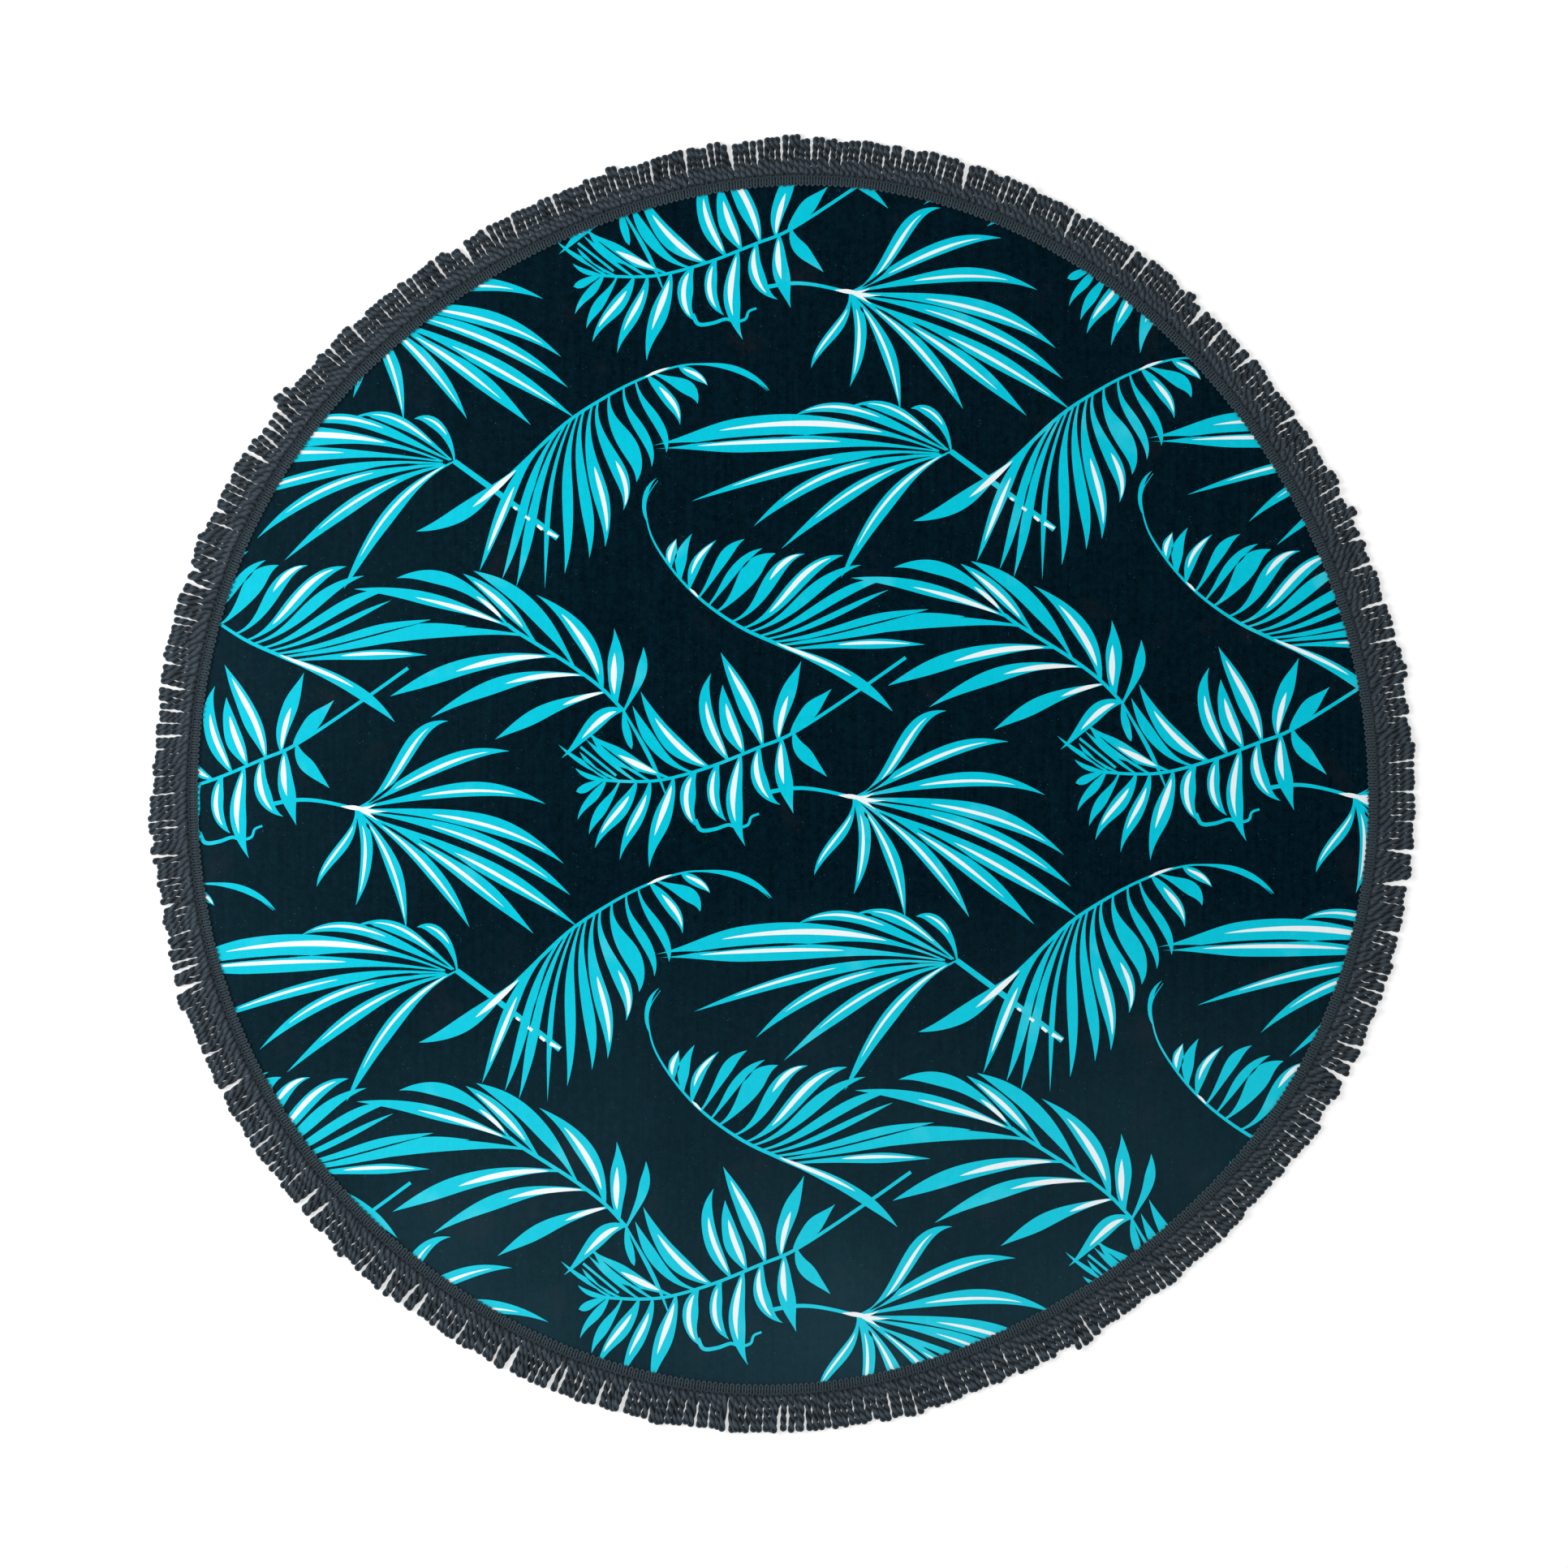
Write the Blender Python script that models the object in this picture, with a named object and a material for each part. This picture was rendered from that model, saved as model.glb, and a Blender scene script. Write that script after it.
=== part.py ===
"""Round beach towel: a printed velour disc with a bullion fringe sewn round its edge.

Units are metres and +Z is up.  The origin is the middle of the underside, on the surface that
the towel lies on.  The towel is laid out flat, with a few soft folds that haven't settled yet
and an edge that isn't a true circle.

Two pieces are cut and sewn:
    towel_cloth  the disc of cloth, with its hem as part of it
    fringe       the woven heading that is sewn down on the hem, with its twisted cords, which
                 hang together in locks of two or three and lie on the surface outside the edge
"""

import math
import random
from typing import NamedTuple

import bmesh
import bpy

# ---------------------------------------------------------------- driving dimensions

TIP_RADIUS = 0.748  # middle of the towel to the usual tip of a cord
HEADING_OUTER_RADIUS = 0.7085
HEADING_WIDTH = 0.0165
CLOTH_RADIUS = 0.7060  # the hemmed edge, just inside the heading's outer edge

CLOTH_THICKNESS = 0.0030
SEWN_GAP = 0.0003  # between the heading and the cloth that it is sewn to
HEADING_INNER_THICKNESS = 0.0017
HEADING_OUTER_THICKNESS = 0.0026

CORDS = 660  # twisted cords round the whole edge
LOCKS = 280  # locks of two or three cords that lie together
CORD_WIDTH = 0.0064
LOCK_ROOT_GAP = 0.0012
LOCK_HEIGHT = 0.0056
LOCK_TOP_SHARE = 0.74  # a lock's top is narrower than the side that it lies on
LOCK_TIP_HEIGHT = 0.0040
LOCK_TIP_SHARE = 0.66  # its rounded tip is narrower again
FRINGE_SEED = 41

FLOOR_REACHED_AT = 0.24  # share of a lock's length where it comes down to the surface
TIP_ROUNDS_AT = 0.90  # share of a lock's length where its tip starts to round off

# ---------------------------------------------------------------- unevenness


class EdgeWave(NamedTuple):
    """One slow wave of the outline: how often it comes round, how high, and where it crests."""

    cycles: int
    height: float
    crest_deg: float


EDGE_WAVES = (
    EdgeWave(cycles=2, height=0.0090, crest_deg=72.0),
    EdgeWave(cycles=3, height=0.0023, crest_deg=-25.0),
    EdgeWave(cycles=4, height=0.0044, crest_deg=-15.0),
    EdgeWave(cycles=5, height=0.0017, crest_deg=-5.0),
    EdgeWave(cycles=6, height=0.0018, crest_deg=27.0),
)


class Fold(NamedTuple):
    """A soft ridge that still stands off the surface: its middle, run, size and rise."""

    x: float
    y: float
    run_deg: float
    half_length: float
    half_width: float
    rise: float


FOLDS = (
    Fold(x=-0.590, y=0.060, run_deg=80.0, half_length=0.190, half_width=0.075, rise=0.0030),
    Fold(x=-0.500, y=-0.260, run_deg=35.0, half_length=0.200, half_width=0.085, rise=0.0034),
    Fold(x=-0.030, y=-0.500, run_deg=10.0, half_length=0.240, half_width=0.090, rise=0.0036),
    Fold(x=0.420, y=-0.100, run_deg=62.0, half_length=0.210, half_width=0.080, rise=0.0032),
    Fold(x=0.430, y=-0.400, run_deg=-38.0, half_length=0.180, half_width=0.075, rise=0.0026),
    Fold(x=0.300, y=0.440, run_deg=-30.0, half_length=0.220, half_width=0.085, rise=0.0028),
    Fold(x=-0.280, y=0.400, run_deg=48.0, half_length=0.230, half_width=0.090, rise=0.0030),
)
FOLDS_FADE_FROM = 0.925  # share of the edge's radius where the fringe starts to hold folds down
FOLDS_FADE_TO = 0.970

# ---------------------------------------------------------------- mesh fineness

CLOTH_STEPS_ROUND = 96
CLOTH_RINGS = (0.09, 0.19, 0.29, 0.39, 0.49, 0.59, 0.69, 0.78, 0.86, 0.925, 0.97, 1.0)


def smooth_step(value, start, end):
    """Rise smoothly from 0 at start to 1 at end."""
    t = min(1.0, max(0.0, (value - start) / (end - start)))
    return t * t * (3.0 - 2.0 * t)


def edge_wave(angle):
    """How far the outline stands out from a true circle at an angle."""
    return sum(
        wave.height * math.cos(wave.cycles * (angle - math.radians(wave.crest_deg)))
        for wave in EDGE_WAVES
    )


def at_radius(radius, angle):
    """The place at a nominal radius, with the outline's own unevenness."""
    uneven = radius + edge_wave(angle) * radius / TIP_RADIUS
    return uneven * math.cos(angle), uneven * math.sin(angle)


def fold_rise(x, y, share_of_edge):
    """How far the cloth stands off the surface at a place."""
    rise = 0.0
    for fold in FOLDS:
        run = math.radians(fold.run_deg)
        along = (x - fold.x) * math.cos(run) + (y - fold.y) * math.sin(run)
        across = (y - fold.y) * math.cos(run) - (x - fold.x) * math.sin(run)
        distance = math.hypot(along / fold.half_length, across / fold.half_width)
        if distance < 1.0:
            rise = max(rise, fold.rise * math.cos(0.5 * math.pi * distance) ** 2)
    return rise * (1.0 - smooth_step(share_of_edge, FOLDS_FADE_FROM, FOLDS_FADE_TO))


# ---------------------------------------------------------------- the cloth


def cloth_mesh():
    """The disc of cloth: an upper and an under face of the same folds, closed round the hem."""
    mesh = bmesh.new()

    def layer(height):
        middle = mesh.verts.new((0.0, 0.0, height + fold_rise(0.0, 0.0, 0.0)))
        rings = []
        for share in CLOTH_RINGS:
            ring = []
            for step in range(CLOTH_STEPS_ROUND):
                x, y = at_radius(share * CLOTH_RADIUS, math.tau * step / CLOTH_STEPS_ROUND)
                ring.append(mesh.verts.new((x, y, height + fold_rise(x, y, share))))
            rings.append(ring)
        return middle, rings

    def fill(middle, rings, facing_up):
        for step in range(CLOTH_STEPS_ROUND):
            after = (step + 1) % CLOTH_STEPS_ROUND
            corners = [middle, rings[0][step], rings[0][after]]
            mesh.faces.new(corners if facing_up else corners[::-1])
            for inner, outer in zip(rings, rings[1:]):
                corners = [inner[step], outer[step], outer[after], inner[after]]
                mesh.faces.new(corners if facing_up else corners[::-1])

    upper_middle, upper_rings = layer(CLOTH_THICKNESS)
    under_middle, under_rings = layer(0.0)
    fill(upper_middle, upper_rings, facing_up=True)
    fill(under_middle, under_rings, facing_up=False)
    for step in range(CLOTH_STEPS_ROUND):
        after = (step + 1) % CLOTH_STEPS_ROUND
        upper, under = upper_rings[-1], under_rings[-1]
        mesh.faces.new((upper[step], under[step], under[after], upper[after]))
    bmesh.ops.triangulate(mesh, faces=mesh.faces[:])
    return mesh


# ---------------------------------------------------------------- the fringe


class Lock(NamedTuple):
    """Two or three cords that lie together: where they start and end, as angles and sizes."""

    root_start: float
    root_end: float
    tip_angle: float
    tip_width: float
    tip_radius: float


def plan_locks():
    """Share the cords out into locks, which gather in tufts with slits between them."""
    draw = random.Random(FRINGE_SEED)
    cords_in_lock = [3] * (CORDS - 2 * LOCKS) + [2] * (3 * LOCKS - CORDS)
    draw.shuffle(cords_in_lock)
    slot = math.tau / CORDS
    half_root_gap = 0.5 * LOCK_ROOT_GAP / HEADING_OUTER_RADIUS

    locks = []
    first_cord = 0
    while len(locks) < LOCKS:
        tuft = cords_in_lock[len(locks):len(locks) + draw.randint(4, 7)]
        gaps = [draw.uniform(0.0006, 0.0016) for _ in tuft]
        widths = [cords * CORD_WIDTH for cords in tuft]
        room = sum(tuft) * slot * TIP_RADIUS
        spare = max(0.0, room - sum(widths) - sum(gaps))
        place = first_cord * slot * TIP_RADIUS + spare * draw.uniform(0.15, 0.85)
        for cords, gap, width in zip(tuft, gaps, widths):
            place += 0.5 * gap
            length_change = draw.gauss(0.0, 0.0012)
            if draw.random() < 0.07:
                length_change += draw.uniform(0.002, 0.005)
            locks.append(
                Lock(
                    root_start=first_cord * slot + half_root_gap,
                    root_end=(first_cord + cords) * slot - half_root_gap,
                    tip_angle=(place + 0.5 * width) / TIP_RADIUS,
                    tip_width=width,
                    tip_radius=TIP_RADIUS + length_change,
                )
            )
            first_cord += cords
            place += width + 0.5 * gap
    return locks


def lock_corners(lock, share, height, top_share, width_share):
    """The four corners of a lock at a share of its length, as it lies on the surface."""
    root_angle = 0.5 * (lock.root_start + lock.root_end)
    root_width = (lock.root_end - lock.root_start) * HEADING_OUTER_RADIUS
    angle = root_angle + (lock.tip_angle - root_angle) * share
    radius = HEADING_OUTER_RADIUS + (lock.tip_radius - HEADING_OUTER_RADIUS) * share
    half = 0.5 * width_share * (root_width + (lock.tip_width - root_width) * share) / radius
    places = (
        (angle - half, 0.0),
        (angle + half, 0.0),
        (angle + half * top_share, height),
        (angle - half * top_share, height),
    )
    return [(*at_radius(radius, turn), level) for turn, level in places]


def draw_out(mesh, root, lock):
    """Draw one lock out of its root on the heading, down to the surface and on to its tip."""
    stations = (
        (FLOOR_REACHED_AT, LOCK_HEIGHT, LOCK_TOP_SHARE, 1.0),
        (TIP_ROUNDS_AT, LOCK_HEIGHT, LOCK_TOP_SHARE, 1.0),
        (1.0, LOCK_TIP_HEIGHT, LOCK_TOP_SHARE, LOCK_TIP_SHARE),
    )
    face = root
    for share, height, top_share, width_share in stations:
        face = bmesh.ops.extrude_discrete_faces(mesh, faces=[face])["faces"][0]
        corners = lock_corners(lock, share, height, top_share, width_share)
        for vert, corner in zip(face.verts, corners):
            vert.co = corner


def fringe_mesh():
    """The heading, a flat woven ring on the hem, with the locks drawn out of its outer wall."""
    mesh = bmesh.new()
    locks = plan_locks()
    under = CLOTH_THICKNESS + SEWN_GAP
    inner_radius = HEADING_OUTER_RADIUS - HEADING_WIDTH

    def pair(radius, angle, thickness):
        x, y = at_radius(radius, angle)
        return mesh.verts.new((x, y, under)), mesh.verts.new((x, y, under + thickness))

    starts = [pair(HEADING_OUTER_RADIUS, k.root_start, HEADING_OUTER_THICKNESS) for k in locks]
    ends = [pair(HEADING_OUTER_RADIUS, k.root_end, HEADING_OUTER_THICKNESS) for k in locks]
    half_root_gap = 0.5 * LOCK_ROOT_GAP / HEADING_OUTER_RADIUS
    inner = [
        pair(inner_radius, k.root_start - half_root_gap, HEADING_INNER_THICKNESS) for k in locks
    ]

    roots = []
    for this in range(LOCKS):
        after = (this + 1) % LOCKS
        (low_in, high_in), (low_next, high_next) = inner[this], inner[after]
        (low_a, high_a), (low_b, high_b), (low_c, high_c) = starts[this], ends[this], starts[after]
        mesh.faces.new((high_in, high_a, high_b, high_next))
        mesh.faces.new((high_next, high_b, high_c))
        mesh.faces.new((low_next, low_b, low_a, low_in))
        mesh.faces.new((low_c, low_b, low_next))
        mesh.faces.new((low_in, high_in, high_next, low_next))
        mesh.faces.new((low_b, low_c, high_c, high_b))
        roots.append(mesh.faces.new((low_a, low_b, high_b, high_a)))
    for root, lock in zip(roots, locks):
        draw_out(mesh, root, lock)
    bmesh.ops.triangulate(mesh, faces=mesh.faces[:])
    return mesh


# ---------------------------------------------------------------- materials


def cloth_material(name, colour, roughness, sheen):
    """A matt cloth finish with a little sheen from its nap."""
    material = bpy.data.materials.new(name)
    material.use_nodes = True
    shader = material.node_tree.nodes["Principled BSDF"]
    shader.inputs["Base Color"].default_value = (*colour, 1.0)
    shader.inputs["Roughness"].default_value = roughness
    shader.inputs["Metallic"].default_value = 0.0
    shader.inputs["Sheen Weight"].default_value = sheen
    return material


def printed_velour():
    """The near-black navy ground of the printed velour."""
    return cloth_material("printed velour", (0.004, 0.016, 0.026), roughness=0.92, sheen=0.25)


def slate_cord():
    """The dark slate yarn of the heading and its cords."""
    return cloth_material("slate cord", (0.030, 0.044, 0.052), roughness=0.88, sheen=0.15)


# ---------------------------------------------------------------- assembly


def add_piece(name, mesh, material):
    """Put one finished piece into the scene, smooth where its surface is meant to be round."""
    data = bpy.data.meshes.new(name)
    mesh.to_mesh(data)
    mesh.free()
    data.materials.append(material)
    data.shade_smooth()
    data.set_sharp_from_angle(angle=math.radians(35.0))
    piece = bpy.data.objects.new(name, data)
    bpy.context.scene.collection.objects.link(piece)
    return piece


def build():
    """Clear the scene and lay the towel out."""
    for leftover in list(bpy.data.objects):
        bpy.data.objects.remove(leftover, do_unlink=True)
    add_piece("towel_cloth", cloth_mesh(), printed_velour())
    add_piece("fringe", fringe_mesh(), slate_cord())


build()
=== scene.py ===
"""Round beach towel: printed velour, its sewn-on heading and its fringe of twisted cords.

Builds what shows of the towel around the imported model: the disc of velour with the leaves
printed on it, the gimp heading sewn down on its hem, and 660 two-ply cords that lie round it.
Lengths are metres unless a name or a docstring says millimetres, and +Z is up.  The origin is
the middle of the underside, +X is the photo's right and +Y its top.
"""

from __future__ import annotations

import logging
import math
import random
from collections.abc import Callable, Iterator, Sequence
from dataclasses import dataclass, field
from enum import Enum
from typing import NamedTuple

import bpy
import numpy as np
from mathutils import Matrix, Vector, kdtree, noise
from mathutils.geometry import delaunay_2d_cdt

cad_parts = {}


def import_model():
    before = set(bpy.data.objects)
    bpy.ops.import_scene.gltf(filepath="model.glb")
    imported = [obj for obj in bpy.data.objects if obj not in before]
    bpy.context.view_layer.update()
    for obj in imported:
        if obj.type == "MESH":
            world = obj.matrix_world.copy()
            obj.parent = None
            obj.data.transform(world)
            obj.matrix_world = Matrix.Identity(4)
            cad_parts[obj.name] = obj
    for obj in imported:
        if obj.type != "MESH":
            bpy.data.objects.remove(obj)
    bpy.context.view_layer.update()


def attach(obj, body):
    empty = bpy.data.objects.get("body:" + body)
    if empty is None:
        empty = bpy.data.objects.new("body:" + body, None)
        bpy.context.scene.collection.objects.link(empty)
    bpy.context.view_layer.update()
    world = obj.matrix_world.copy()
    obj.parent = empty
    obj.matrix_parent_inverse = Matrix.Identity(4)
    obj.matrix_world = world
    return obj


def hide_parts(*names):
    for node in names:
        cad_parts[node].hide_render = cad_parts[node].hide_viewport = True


LOG = logging.getLogger("beach_towel")
MM = 0.001
SAME_PLACE_MM = 0.02

Point = tuple[float, float]
Span = tuple[float, float]
Place = tuple[float, float, float]
Colour = tuple[float, float, float]
Socket = bpy.types.NodeSocket
CutPlane = tuple[list[Vector], list[list[int]], list[set[int]]]


# ---------------------------------------------------------------- how the towel lies


class EdgeWave(NamedTuple):
    """One slow wave of the outline: how often it comes round, how high, and where it crests."""

    cycles: int
    height: float
    crest_deg: float

    def height_at(self, angle: float) -> float:
        """How far this wave pushes the outline out at an angle."""
        return self.height * math.cos(self.cycles * (angle - math.radians(self.crest_deg)))


class Fold(NamedTuple):
    """A soft ridge or crease: its middle, run, half sizes and rise."""

    x: float
    y: float
    run_deg: float
    half_length: float
    half_width: float
    rise: float

    def height_at(self, x: float, y: float) -> float:
        """How far this fold lifts the cloth.

        Args:
            x: The place's X.
            y: Its Y.

        Returns:
            The rise there.
        """
        run = math.radians(self.run_deg)
        along = (x - self.x) * math.cos(run) + (y - self.y) * math.sin(run)
        across = (y - self.y) * math.cos(run) - (x - self.x) * math.sin(run)
        distance = math.hypot(along / self.half_length, across / self.half_width)
        if distance >= 1.0:
            return 0.0
        return self.rise * math.cos(0.5 * math.pi * distance) ** 2


def smooth_step(value: float, start: float, end: float) -> float:
    """Rise smoothly from 0 at start to 1 at end."""
    t = min(1.0, max(0.0, (value - start) / (end - start)))
    return t * t * (3.0 - 2.0 * t)


@dataclass(frozen=True)
class Lie:
    """How the towel lies on the floor: an outline that isn't a true circle, and soft folds."""

    tip_radius: float = 0.748
    heading_outer_radius: float = 0.7085
    cloth_radius: float = 0.7060
    cloth_thickness: float = 0.0030
    sewn_gap: float = 0.0003
    waves: tuple[EdgeWave, ...] = (
        EdgeWave(cycles=2, height=0.0090, crest_deg=72.0),
        EdgeWave(cycles=3, height=0.0023, crest_deg=-25.0),
        EdgeWave(cycles=4, height=0.0044, crest_deg=-15.0),
        EdgeWave(cycles=5, height=0.0017, crest_deg=-5.0),
        EdgeWave(cycles=6, height=0.0018, crest_deg=27.0),
    )
    folds: tuple[Fold, ...] = (
        #    x       y      run   half sizes    rise
        Fold(-0.590, 0.060, 80.0, 0.190, 0.075, 0.0030),
        Fold(-0.500, -0.260, 35.0, 0.200, 0.085, 0.0034),
        Fold(-0.030, -0.500, 10.0, 0.240, 0.090, 0.0036),
        Fold(0.420, -0.100, 62.0, 0.210, 0.080, 0.0032),
        Fold(0.430, -0.400, -38.0, 0.180, 0.075, 0.0026),
        Fold(0.300, 0.440, -30.0, 0.220, 0.085, 0.0028),
        Fold(-0.280, 0.400, 48.0, 0.230, 0.090, 0.0030),
    )
    folds_fade_from: float = 0.925
    folds_fade_to: float = 0.970

    def edge_wave(self, angle: float) -> float:
        """How far the outline stands out from a true circle at an angle."""
        return sum(wave.height_at(angle) for wave in self.waves)

    def at_radius(self, radius: float, angle: float) -> Point:
        """The place at a nominal radius, with the outline's own unevenness."""
        uneven = radius + self.edge_wave(angle) * radius / self.tip_radius
        return uneven * math.cos(angle), uneven * math.sin(angle)

    def nominal_radius(self, x: float, y: float) -> float:
        """The nominal radius that a place stands for, which at_radius undoes."""
        angle = math.atan2(y, x)
        return math.hypot(x, y) / (1.0 + self.edge_wave(angle) / self.tip_radius)

    def fold_rise(self, x: float, y: float) -> float:
        """How far the cloth stands off the floor.

        Args:
            x: The place's X.
            y: Its Y.

        Returns:
            The rise there.
        """
        share = self.nominal_radius(x, y) / self.cloth_radius
        fade = 1.0 - smooth_step(share, self.folds_fade_from, self.folds_fade_to)
        if fade <= 0.0:
            return 0.0
        return fade * max(fold.height_at(x, y) for fold in self.folds)


# ---------------------------------------------------------------- finishes


class Nodes:
    """A material's node tree, with short calls that add and join its nodes."""

    def __init__(self, name: str) -> None:
        """Start a material that has a Principled BSDF, an output and the object's coordinate.

        Args:
            name: The material's name.
        """
        self.material = bpy.data.materials.new(name)
        self.material.use_nodes = True
        self.tree = self.material.node_tree
        self.shader = self.tree.nodes["Principled BSDF"]
        self.place = self.add("TexCoord").outputs["Object"]

    def add(self, kind: str, **settings: object) -> bpy.types.Node:
        """Add one node and set its properties.

        Args:
            kind: The node's type, without the leading ShaderNode.
            settings: Its properties by name.

        Returns:
            The new node.
        """
        node = self.tree.nodes.new("ShaderNode" + kind)
        for name, value in settings.items():
            setattr(node, name, value)
        return node

    def join(self, source: Socket, target: Socket) -> None:
        """Link one socket to another."""
        self.tree.links.new(source, target)

    def fill(self, node: bpy.types.Node, values: dict[str, float | Sequence[float]]) -> None:
        """Set some of a node's own sockets."""
        for name, value in values.items():
            node.inputs[name].default_value = value

    def noise(self, scale: float, detail: float = 2.0, stretch: Place = (1.0, 1.0, 1.0)) -> Socket:
        """Add noise over the object's coordinate.

        Args:
            scale: Repeats to a metre.
            detail: Octaves.
            stretch: How much the coordinate is scaled along each axis first.

        Returns:
            The noise's value, from 0 to 1.
        """
        mapping = self.add("Mapping")
        self.fill(mapping, {"Scale": stretch})
        self.join(self.place, mapping.inputs["Vector"])
        texture = self.add("TexNoise")
        self.fill(texture, {"Scale": scale, "Detail": detail})
        self.join(mapping.outputs["Vector"], texture.inputs["Vector"])
        return texture.outputs["Fac"]

    def cells(self, scale: float) -> Socket:
        """Add cells over the object's coordinate.

        Args:
            scale: Cells to a metre.

        Returns:
            The distance from the middle of the nearest cell.
        """
        texture = self.add("TexVoronoi")
        self.fill(texture, {"Scale": scale})
        self.join(self.place, texture.inputs["Vector"])
        return texture.outputs["Distance"]

    def axes(self, vector: Socket) -> bpy.types.NodeOutputs:
        """Take a coordinate apart.

        Args:
            vector: The coordinate.

        Returns:
            Its X, Y and Z.
        """
        parts = self.add("SeparateXYZ")
        self.join(vector, parts.inputs["Vector"])
        return parts.outputs

    def spread(self, value: Socket, start: float, end: float, low: float, high: float) -> Socket:
        """Map a value from one range onto another, held at both ends.

        Args:
            value: What is mapped.
            start: The value that becomes low.
            end: The value that becomes high.
            low: What start becomes.
            high: What end becomes.

        Returns:
            The mapped value.
        """
        node = self.add("MapRange", clamp=True)
        self.fill(node, {"From Min": start, "From Max": end, "To Min": low, "To Max": high})
        self.join(value, node.inputs["Value"])
        return node.outputs["Result"]

    def combine(self, operation: str, first: Socket, second: Socket | float) -> Socket:
        """Work out one value from two, such as their sum or product.

        Args:
            operation: The name of the sum.
            first: One value.
            second: The other value.

        Returns:
            The result.
        """
        node = self.add("Math", operation=operation)
        self.join(first, node.inputs[0])
        if isinstance(second, float):
            node.inputs[1].default_value = second
        else:
            self.join(second, node.inputs[1])
        return node.outputs[0]

    def total(self, *parts: tuple[Socket, float]) -> Socket:
        """Add up values.

        Args:
            parts: Each value with its weight.

        Returns:
            Their sum.
        """
        weighed = [self.combine("MULTIPLY", value, weight) for value, weight in parts]
        whole = weighed[0]
        for value in weighed[1:]:
            whole = self.combine("ADD", whole, value)
        return whole

    def tint(self, share: Socket, low: Colour | Socket, high: Colour) -> Socket:
        """Mix from one colour to another.

        Args:
            share: The share of the second colour.
            low: The first colour.
            high: The second colour.

        Returns:
            The mixed colour.
        """
        node = self.add("Mix", data_type="RGBA")
        if isinstance(low, bpy.types.NodeSocket):
            self.join(low, node.inputs[6])
        else:
            node.inputs[6].default_value = (*low, 1.0)
        node.inputs[7].default_value = (*high, 1.0)
        self.join(share, node.inputs[0])
        return node.outputs[2]

    def mottled(self, tone: Socket, start: float, end: float, colour: Colour, uneven: float) -> Socket:
        """Make a colour darker and lighter by a tone.

        Args:
            tone: The tone.
            start: The tone that is darkest.
            end: The tone that is lightest.
            colour: The colour.
            uneven: How much darker and lighter it gets, as a share.

        Returns:
            The uneven colour.
        """
        share = self.spread(tone, start, end, 0.0, 1.0)
        return self.tint(share, shade(colour, 1.0 - uneven), shade(colour, 1.0 + uneven))

    def raise_by(self, height: Socket, distance: float, strength: float) -> None:
        """Feed a height into the shader's normal as fine relief.

        Args:
            height: The height.
            distance: What a height of 1 stands for, in metres.
            strength: How much of the relief shows.
        """
        bump = self.add("Bump")
        self.fill(bump, {"Distance": distance, "Strength": strength})
        self.join(height, bump.inputs["Height"])
        self.join(bump.outputs["Normal"], self.shader.inputs["Normal"])

    def dress(self, colour: Socket, values: dict[str, float | Sequence[float]]) -> bpy.types.Material:
        """Give the shader its base colour and its own even values.

        Args:
            colour: The base colour.
            values: The values by the name of the shader's socket.

        Returns:
            The finished material.
        """
        self.join(colour, self.shader.inputs["Base Color"])
        self.fill(self.shader, values)
        return self.material


def shade(colour: Colour, factor: float) -> Colour:
    """A colour made lighter or darker by a factor."""
    red, green, blue = (min(1.0, part * factor) for part in colour)
    return red, green, blue


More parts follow.
